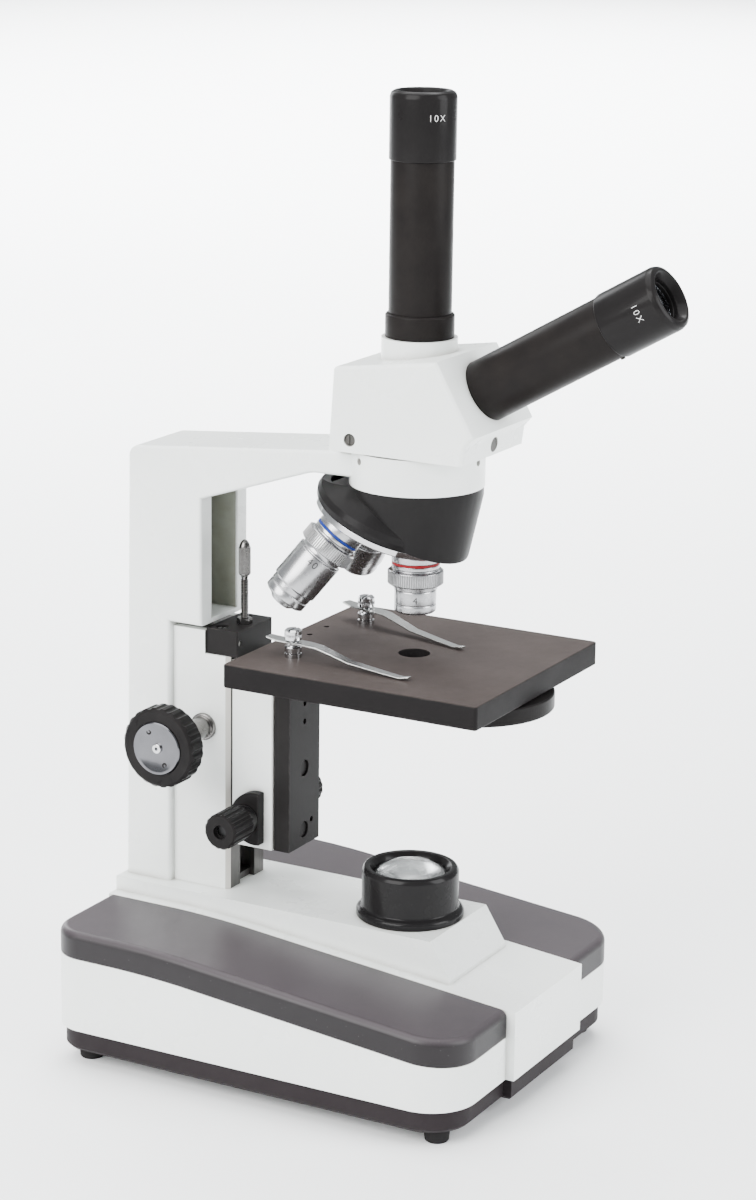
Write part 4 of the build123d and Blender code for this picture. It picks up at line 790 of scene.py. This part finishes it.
for side, outer, way in (("left", caps_low.x, -1), ("right", caps_high.x, 1)):
    place = aimed(Vector((outer, caps_centre.y, caps_centre.z)), Vector((way, 0, 0)))
    name = side + "_dished_cap"
    replaced = ("knob_caps",) if side == "left" else ()
    shown(name, lathe(name, dish, place), smoked_chrome, caps_body, caps_slot, *replaced)
    name = side + "_cap_screw"
    shown(name, lathe(name, nut, place, ring=True), bright_chrome, caps_body, caps_slot)
    for label, reach in (("_upper_pin", -pin_circle), ("_lower_pin", pin_circle)):
        hole = place @ standing(-0.5 * reach, 0.866 * reach)
        name = side + label
        shown(name, lathe(name, pin, hole, sides=32), block_black, caps_body, caps_slot)

# ---------------------------------------------------------------- carriage
# The carriage that the coarse drive lifts: an enamelled block on the slideway, with a black round
# housing for the fine shaft on its left side.
cast_copy("carriage", "carriage_block", white_enamel, edge=0.0006)
cast_copy("fine_hub", "fine_shaft_housing", block_black, edge=0.0008, steps=3)

# ---------------------------------------------------------------- fine focus drive
# A thin steel shaft with a spiral cam, and a small lobed plastic knob at each end.
cast_copy("fine_knobs", "lobed_knobs", knob_black, edge=0.0003)
blackened_steel = plated("blackened_steel", (0.030, 0.030, 0.031), (0.020, 0.020, 0.020), (0.34, 0.48))
cast_copy("fine_shaft", "cam_shaft", blackened_steel, edge=0.0001, steps=1)

# ---------------------------------------------------------------- stage and bracket
# A thick plate with a matt dark coating, bored in the middle, on a bracket that slides in the
# carriage. The edges of the coating are rubbed, and slides have left faint scratches on the top.


def stage_coating():
    """Matt brown-black coating, scratched by slides and polished along the edges, with its top painted
    lighter as sheen and its sides painted darker as shade.
    """
    material, tree, shader, place = blank_finish("stage_coating")
    patches = placed_group(tree, blotches, place, scale=26.0, spread=0.2).outputs["Mask"]
    edges = placed_group(tree, rubbed_edges, place, reach=0.0008, amount=0.8).outputs["Mask"]
    skin = placed_group(tree, fine_grain, place, scale=1900.0, coarse_share=0.2)
    turn = wired(tree, "Mapping", {"Vector": place, "Rotation": (0.0, 0.0, 0.5), "Scale": (1.0, 0.02, 1.0)})
    strokes = wired(tree, "TexNoise", {"Vector": turn.outputs["Vector"], "Scale": 900.0, "Detail": 2.0})
    scratch = ranged(tree, strokes.outputs["Fac"], 0.0, 0.22, 0.68, 0.80)
    # Painted sheen and shade: the top gets a lighter brown-black than the sides, which are about eight times
    # darker, chosen by which way each face looks.
    top = mixed(tree, patches, (0.050, 0.040, 0.037), (0.041, 0.033, 0.031))
    top = mixed(tree, scratch, top, (0.12, 0.105, 0.10))
    sides = mixed(tree, patches, (0.0062, 0.0055, 0.0058), (0.0085, 0.0076, 0.0078))
    top_sheen_and_side_shade = mixed(tree, faces_along(tree, "Z", 0.5, 0.9), sides, top)
    dressed(tree, shader, mixed(tree, edges, top_sheen_and_side_shade, (0.10, 0.088, 0.082)), patches, (0.46, 0.60))
    shader.inputs["Specular IOR Level"].default_value = 0.07
    bumped(tree, shader, skin.outputs["Height"], 0.35, 0.0001)
    return material


stage_black = stage_coating()
cast_copy("stage_plate", "coated_stage_plate", stage_black, edge=0.0005)
cast_copy("stage_bracket", "coated_bracket", block_black, edge=0.0005)
cast_copy("fine_slide", "dovetail_slide", screw_steel, edge=0.0002, steps=1)
cast_copy("stage_fixings", "stage_and_bracket_screws", block_black, edge=0.0002, steps=1)

# ---------------------------------------------------------------- clips and their posts
# Two polished spring-steel clips, each pinched on a turned and knurled chromed post so that it
# can be swung aside. The posts are screwed into the stage.
clip_steel = plated("clip_steel", (0.60, 0.60, 0.59), (0.48, 0.48, 0.47), (0.16, 0.28), grain=2200.0)
cast_copy("left_clip", "left_spring_clip", clip_steel, edge=0.00015, steps=2, crease=34.0)
cast_copy("right_clip", "right_spring_clip", clip_steel, edge=0.00015, steps=2, crease=34.0)
cast_copy("clip_posts", "turned_clip_posts", bright_chrome, edge=0.0002)
post_low, post_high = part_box("clip_posts")
post_r = (post_high.y - post_low.y) / 2
for side, x in (("left", post_low.x + post_r), ("right", post_high.x - post_r)):
    post_place = standing(x, (post_low.y + post_high.y) / 2, post_high.z - 0.0028)
    ribs(side + "_post_knurl", post_place, bright_chrome, body_of("clip_posts"), slot_of("clip_posts"),
         count=36, ring_radius=post_r - 0.0001, rib_radius=0.00022, rib_length=0.0013, rib_sides=8)

# ---------------------------------------------------------------- disc diaphragm
# A thin black turned dish under the stage, with five holes of different sizes, on one screw.
disc_black = painted("disc_black", (0.0085, 0.0080, 0.0080), (0.0130, 0.0120, 0.0120), (0.05, 0.047, 0.045),
                     (0.30, 0.44), 1200.0, 0.16, wear=0.6)
cast_copy("disc_diaphragm", "diaphragm_dish", disc_black, edge=0.0004, steps=3)
disc_low, disc_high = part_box("disc_diaphragm")
disc_r = (disc_high.x - disc_low.x) / 2
ribs("diaphragm_knurl", standing(*((disc_low + disc_high) / 2)), disc_black, body_of("disc_diaphragm"),
     slot_of("disc_diaphragm"), count=150, ring_radius=disc_r - 0.00035, rib_radius=0.00036,
     rib_length=0.0050, rib_sides=8)

# ---------------------------------------------------------------- nosepiece housing
# A black enamelled housing under the ring, held from inside by three screws. Three grub screws in
# the ring hold the head. The revolving plate is chromed brass on one pivot screw.
nose_black = painted("nose_black", (0.0080, 0.0075, 0.0080), (0.0105, 0.0100, 0.0100), (0.05, 0.047, 0.045),
                     (0.30, 0.38), 520.0, 0.06, wear=0.15, coat=0.04)
cast_copy("nosepiece_housing", "nosepiece_shell", nose_black, edge=0.0008, steps=3, crease=24.0)
cast_copy("ring_screws", "ring_grub_screws", block_black, edge=0.0001, steps=1)
cast_copy("turret", "revolving_plate", bright_chrome, edge=0.0003)
cast_copy("turret_pivot_screw", "pivot_screw", screw_steel, edge=0.0003)

# ---------------------------------------------------------------- objectives
# Three turned and chromed objectives: a collar with a colour band, a knurled grip ring and a
# polished barrel engraved with its power. The strongest has a sprung front that gives way.
joints = {row["name"]: row for row in frame["joints"]}
apex = Vector(joints["nosepiece_turn"]["pos_m"])
low_box, low_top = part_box("objective_4x")
thread_stub = 0.004
seat = apex.z - (low_top.z - thread_stub)
strong_axis = -Vector(joints["tip_spring_travel"]["axis"])
middle_axis = Vector((-strong_axis.x, strong_axis.y, strong_axis.z))
collar_r = 0.01035
grip_r = 0.0120
reach_low = apex.z - seat - low_box.z
reach_middle = 0.0380
reach_strong = 0.0442


def turned_chrome(name, colour, dulled, roughness, lines):
    """Chrome over turned brass: fine tool lines round the piece, fingerprints."""
    material, tree, shader, place = blank_finish(name)
    prints = placed_group(tree, blotches, place, scale=160.0, spread=0.2).outputs["Mask"]
    shader.inputs["Metallic"].default_value = 1.0
    dressed(tree, shader, mixed(tree, prints, colour, dulled), prints, roughness)
    bumped(tree, shader, tool_lines(tree, 1.5, 5200.0, 3.0), lines, 0.00005)
    return material


barrel_chrome = turned_chrome("barrel_chrome", (0.40, 0.40, 0.41), (0.36, 0.36, 0.37), (0.25, 0.29), 0.02)
grip_metal = plated("grip_metal", (0.26, 0.26, 0.265), (0.20, 0.20, 0.20), (0.28, 0.40))


def objective_profile(barrel, length, front):
    """Outline of an objective from its thread down to its front, as distances from the apex."""
    s = seat
    tip = s + length
    collar = [(0.003, s - thread_stub), (0.0085, s - thread_stub), (0.0090, s - thread_stub + 0.0005),
              (0.0090, s),
              (collar_r - 0.0003, s), (collar_r, s + 0.0003), (collar_r, s + 0.0050),
              (collar_r - 0.0003, s + 0.0052),
              (collar_r - 0.0003, s + 0.0062), (collar_r, s + 0.0064), (collar_r, s + 0.0078),
              (collar_r - 0.0004, s + 0.0080), (collar_r - 0.0004, s + 0.0086), (grip_r - 0.0009, s + 0.0087),
              (grip_r - 0.0003, s + 0.0092), (grip_r - 0.0003, s + 0.0148), (grip_r - 0.0009, s + 0.0153),
              (collar_r - 0.0009, s + 0.0155), (collar_r - 0.0009, s + 0.0172), (barrel - 0.0002, s + 0.0175),
              (barrel, s + 0.0178)]
    return collar + front(tip, barrel)


def low_front(tip, barrel):
    """The weakest objective ends in a plain open rim."""
    return [(barrel, tip - 0.0042), (barrel - 0.0002, tip - 0.0040), (barrel - 0.0002, tip - 0.0036),
            (barrel, tip - 0.0034),
            (barrel, tip - 0.0008), (barrel - 0.0009, tip), (0.0064, tip), (0.0054, tip - 0.0014),
            (0.0050, tip - 0.0014),
            (0.0050, tip - 0.0060), (0.003, tip - 0.0060)]


def middle_front(tip, barrel):
    """The middle objective narrows to a short cone."""
    return [(barrel, tip - 0.0092), (barrel - 0.0007, tip - 0.0086), (barrel - 0.0007, tip - 0.0032),
            (barrel - 0.0034, tip), (0.0046, tip), (0.0036, tip - 0.0012), (0.003, tip - 0.0012)]


def strong_front(tip, barrel):
    """The strongest objective has two grooves and an open nose in which its sprung tip slides."""
    step = tip - 0.0022
    return [(barrel, tip - 0.0270), (barrel - 0.0004, tip - 0.0268), (barrel - 0.0004, tip - 0.0262),
            (barrel, tip - 0.0260),
            (barrel, tip - 0.0098), (barrel - 0.0007, tip - 0.0092), (barrel - 0.0007, tip - 0.0070),
            (barrel - 0.0011, tip - 0.0068), (barrel - 0.0011, tip - 0.0064), (barrel - 0.0007, tip - 0.0062),
            (barrel - 0.0007, step - 0.0010), (barrel - 0.0020, step), (0.0070, step), (0.0070, tip - 0.0091),
            (0.003, tip - 0.0091)]


def wrapped_words(name, words, height, radius, place, along, turn, finish, body, slot, thin=0.0):
    """Shallow raised characters bent round a turned piece, reading along its circumference."""
    text = bpy.data.curves.new(name, "FONT")
    text.body = words
    text.size = height
    text.align_x = "CENTER"
    text.align_y = "CENTER"
    text.extrude = 0.00002
    text.offset = -thin * height
    text.space_character = 1.25
    text.resolution_u = 4
    holder = bpy.data.objects.new(name + "_maker", text)
    bpy.context.scene.collection.objects.link(holder)
    mesh = settled(holder)
    work = bmesh.new()
    work.from_mesh(mesh)
    bmesh.ops.subdivide_edges(work, edges=[e for e in work.edges if e.calc_length() > height * 0.2], cuts=2)
    bmesh.ops.triangulate(work, faces=work.faces)
    for vert in work.verts:
        angle = turn + vert.co.x / radius
        out = radius + 0.00003 + vert.co.z
        vert.co = Vector((out * math.cos(angle), out * math.sin(angle), along + vert.co.y))
    work.transform(place)
    bmesh.ops.recalc_face_normals(work, faces=work.faces)
    work.to_mesh(mesh)
    work.free()
    return shown(name, mesh, finish, body, slot)


engraving_ink = painted("engraving_ink", (0.02, 0.02, 0.021), (0.04, 0.04, 0.04), (0.09, 0.09, 0.09),
                        (0.4, 0.6), 1500.0, 0.1)
band_colours = {"4x": ((0.26, 0.012, 0.016), (0.21, 0.010, 0.014)),
                "10x": ((0.55, 0.33, 0.03), (0.48, 0.28, 0.025)),
                "40x": ((0.012, 0.030, 0.20), (0.010, 0.025, 0.16))}
objective_set = (("4x", Vector((0, 0, -1)), 0.0090, reach_low, low_front, "4", 0.0042),
                 ("10x", middle_axis, 0.0103, reach_middle, middle_front, "10", 0.0042),
                 ("40x", strong_axis, 0.0103, reach_strong, strong_front, "40", 0.0044))
for power, axis, barrel, length, front, number, letter in objective_set:
    node = "objective_" + power
    place = aimed(apex, axis)
    body = body_of(node)
    slot = slot_of(node)
    outline = eased(objective_profile(barrel, length, front), 0.00025, 2)
    shown(node + "_turned", lathe(node + "_turned", outline, place, ring=True), barrel_chrome, body, slot,
          node)
    ribs(node + "_grip", place @ standing(0, 0, seat + 0.0120), grip_metal, body, slot, count=72,
         ring_radius=grip_r - 0.00030, rib_radius=0.00029, rib_length=0.0054, rib_sides=8)
    band = painted("band_" + power, band_colours[power][0], band_colours[power][1], (0.4, 0.4, 0.4),
                   (0.25, 0.4), 1200.0, 0.05, wear=0.2)
    band_line = [(collar_r - 0.0004, seat + 0.0052), (collar_r - 0.00002, seat + 0.0052),
                 (collar_r - 0.00002, seat + 0.0062), (collar_r - 0.0004, seat + 0.0062)]
    shown(node + "_band", lathe(node + "_band", band_line, place, ring=True), band, body,
          slot_of(node + "_ring"), node + "_ring")
    facing = place.to_3x3().inverted() @ (camera_eye - apex)
    turn = math.atan2(facing.y, facing.x)
    wrapped_words(node + "_number", number, letter, barrel, place @ Matrix.Rotation(math.pi, 4, "X"),
                  -(seat + 0.0210), -turn,
                  engraving_ink, body, slot)

cast_copy("objective_40x_tip", "sprung_tip", barrel_chrome, edge=0.0003, steps=2)
front_glass = lens_glass("front_glass", (0.90, 0.93, 0.98), (0.02, 0.08))
cast_copy("objective_lenses", "front_lenses", front_glass, edge=0.0)

# ---------------------------------------------------------------- head
# The prism head: an enamelled hollow casting with sloping sides, a turned foot that sits in the
# ring, a glass prism inside, a chromed screw on its side and a plug in its front ledge.
cast_copy("head_housing", "head_casting", white_enamel, edge=0.0009, steps=3)
foot_metal = plated("foot_metal", (0.60, 0.60, 0.61), (0.46, 0.46, 0.46), (0.26, 0.40))
cast_copy("head_foot", "turned_head_foot", foot_metal, edge=0.0003)
cast_copy("head_foot_screws", "head_foot_fixings", screw_steel, edge=0.0001, steps=1)
plug_zinc = plated("plug_zinc", (0.085, 0.082, 0.078), (0.060, 0.057, 0.053), (0.30, 0.45))
cast_copy("head_fittings", "head_plug_and_screws", plug_zinc, edge=0.0002)
cast_copy("prism", "prism_block", front_glass, edge=0.0002)

# ---------------------------------------------------------------- tubes and collar
# Two drawn tubes dyed satin black, bare inside. The upright one stands in the head's neck behind
# a loose collar, and the inclined one is cemented into the sloping face.
tube_black = turned_paint("tube_black", (0.0090, 0.0080, 0.0080), (0.0120, 0.0105, 0.0100), (0.30, 0.42),
                          lines=0.15)
tube_r = (tube_high.x - tube_low.x) / 2
tube_inner = tube_r - 0.0016
upright_place = standing(optical_axis.x, optical_axis.y)
tube_wall = eased([(tube_inner, tube_low.z), (tube_r, tube_low.z), (tube_r, tube_high.z - 0.0002),
                   (tube_r - 0.0002, tube_high.z),
                   (tube_inner, tube_high.z)], 0.0002, 2)
shown("upright_tube_drawn", lathe("upright_tube_drawn", tube_wall, upright_place, ring=True), tube_black,
      body_of("upright_tube"), slot_of("upright_tube"), "upright_tube")
collar_low, collar_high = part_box("tube_collar")
collar_out = (collar_high.x - collar_low.x) / 2
collar_wall = eased([(tube_r + 0.00004, collar_low.z), (collar_out, collar_low.z),
                     (collar_out, collar_high.z - 0.0006),
                     (collar_out - 0.0006, collar_high.z), (tube_r + 0.00004, collar_high.z)], 0.0003)
shown("tube_collar_turned", lathe("tube_collar_turned", collar_wall, upright_place, ring=True), tube_black,
      body_of("tube_collar"), slot_of("tube_collar"), "tube_collar")

tilt_axis = Vector(joints["tilted_eyepiece_pull"]["axis"])
tilt_origin = Vector(joints["tilted_eyepiece_pull"]["pos_m"])
tilt_place = aimed(tilt_origin, tilt_axis)


def reach_along(node):
    """How far a node starts and ends along the inclined tube's axis."""
    spans = [(v.co - tilt_origin).dot(tilt_axis) for v in frame["nodes"][node].data.vertices]
    return min(spans), max(spans)


slope_start, slope_end = reach_along("inclined_tube")
slope_wall = eased([(tube_inner, slope_start), (tube_r, slope_start), (tube_r, slope_end - 0.0002),
                    (tube_r - 0.0002, slope_end),
                    (tube_inner, slope_end)], 0.0002, 2)
shown("inclined_tube_drawn", lathe("inclined_tube_drawn", slope_wall, tilt_place, ring=True), tube_black,
      body_of("inclined_tube"), slot_of("inclined_tube"), "inclined_tube")

# ---------------------------------------------------------------- eyepieces
# Two wide-field eyepieces: a plated barrel that slides in the tube, a black anodised cap with a
# rounded rim and a stepped mouth, and coated eye and field lenses. The power is printed in white.
cap_black = turned_paint("cap_black", (0.0085, 0.0078, 0.0080), (0.0100, 0.0093, 0.0094), (0.27, 0.34),
                         lines=0.02, coat=0.06, wear=0.15)
print_white = painted("print_white", (0.80, 0.80, 0.79), (0.70, 0.70, 0.69), (0.5, 0.5, 0.5), (0.45, 0.6),
                      1500.0, 0.05, wear=0.2)
eye_glass = lens_glass("eye_glass", (0.86, 0.90, 0.97), (0.02, 0.07))
cap_r = 0.0140
cap_length = 0.0285
sleeve_length = 0.0300
sleeve_r = tube_inner - 0.0001
eyepieces = (("upright", upright_place, tube_high.z, math.radians(232)),
             ("inclined", tilt_place, slope_end, None))
for name, place, shoulder, turn in eyepieces:
    node = name + "_eyepiece"
    body = body_of(node)
    slot = slot_of(node)
    top = shoulder + cap_length
    outline = eased([(sleeve_r - 0.0012, shoulder - sleeve_length), (sleeve_r, shoulder - sleeve_length),
                     (sleeve_r, shoulder),
                     (cap_r - 0.0002, shoulder), (cap_r, shoulder + 0.0003), (cap_r, top - 0.0026),
                     (cap_r - 0.0007, top - 0.0008), (cap_r - 0.0022, top), (0.0112, top),
                     (0.0106, top - 0.0006),
                     (0.0088, top - 0.0034), (0.0088, top - 0.0050), (0.0085, top - 0.0052),
                     (0.0085, top - 0.0090),
                     (0.0074, top - 0.0092), (0.0074, top - 0.0120), (sleeve_r - 0.0012, top - 0.0160)],
                     0.0004)
    shown(node + "_turned", lathe(node + "_turned", outline, place, ring=True), cap_black, body, slot, node)
    cast_copy(name + "_lenses", name + "_eye_and_field_lens", eye_glass, edge=0.0, crease=50.0)
    facing = place.to_3x3().inverted() @ (camera_eye - place.translation)
    seen = math.atan2(facing.y, facing.x) if turn is None else turn
    wrapped_words(node + "_power", "10X", 0.0040, cap_r, place, top - 0.0105, seen, print_white, body, slot,
                  thin=0.022)
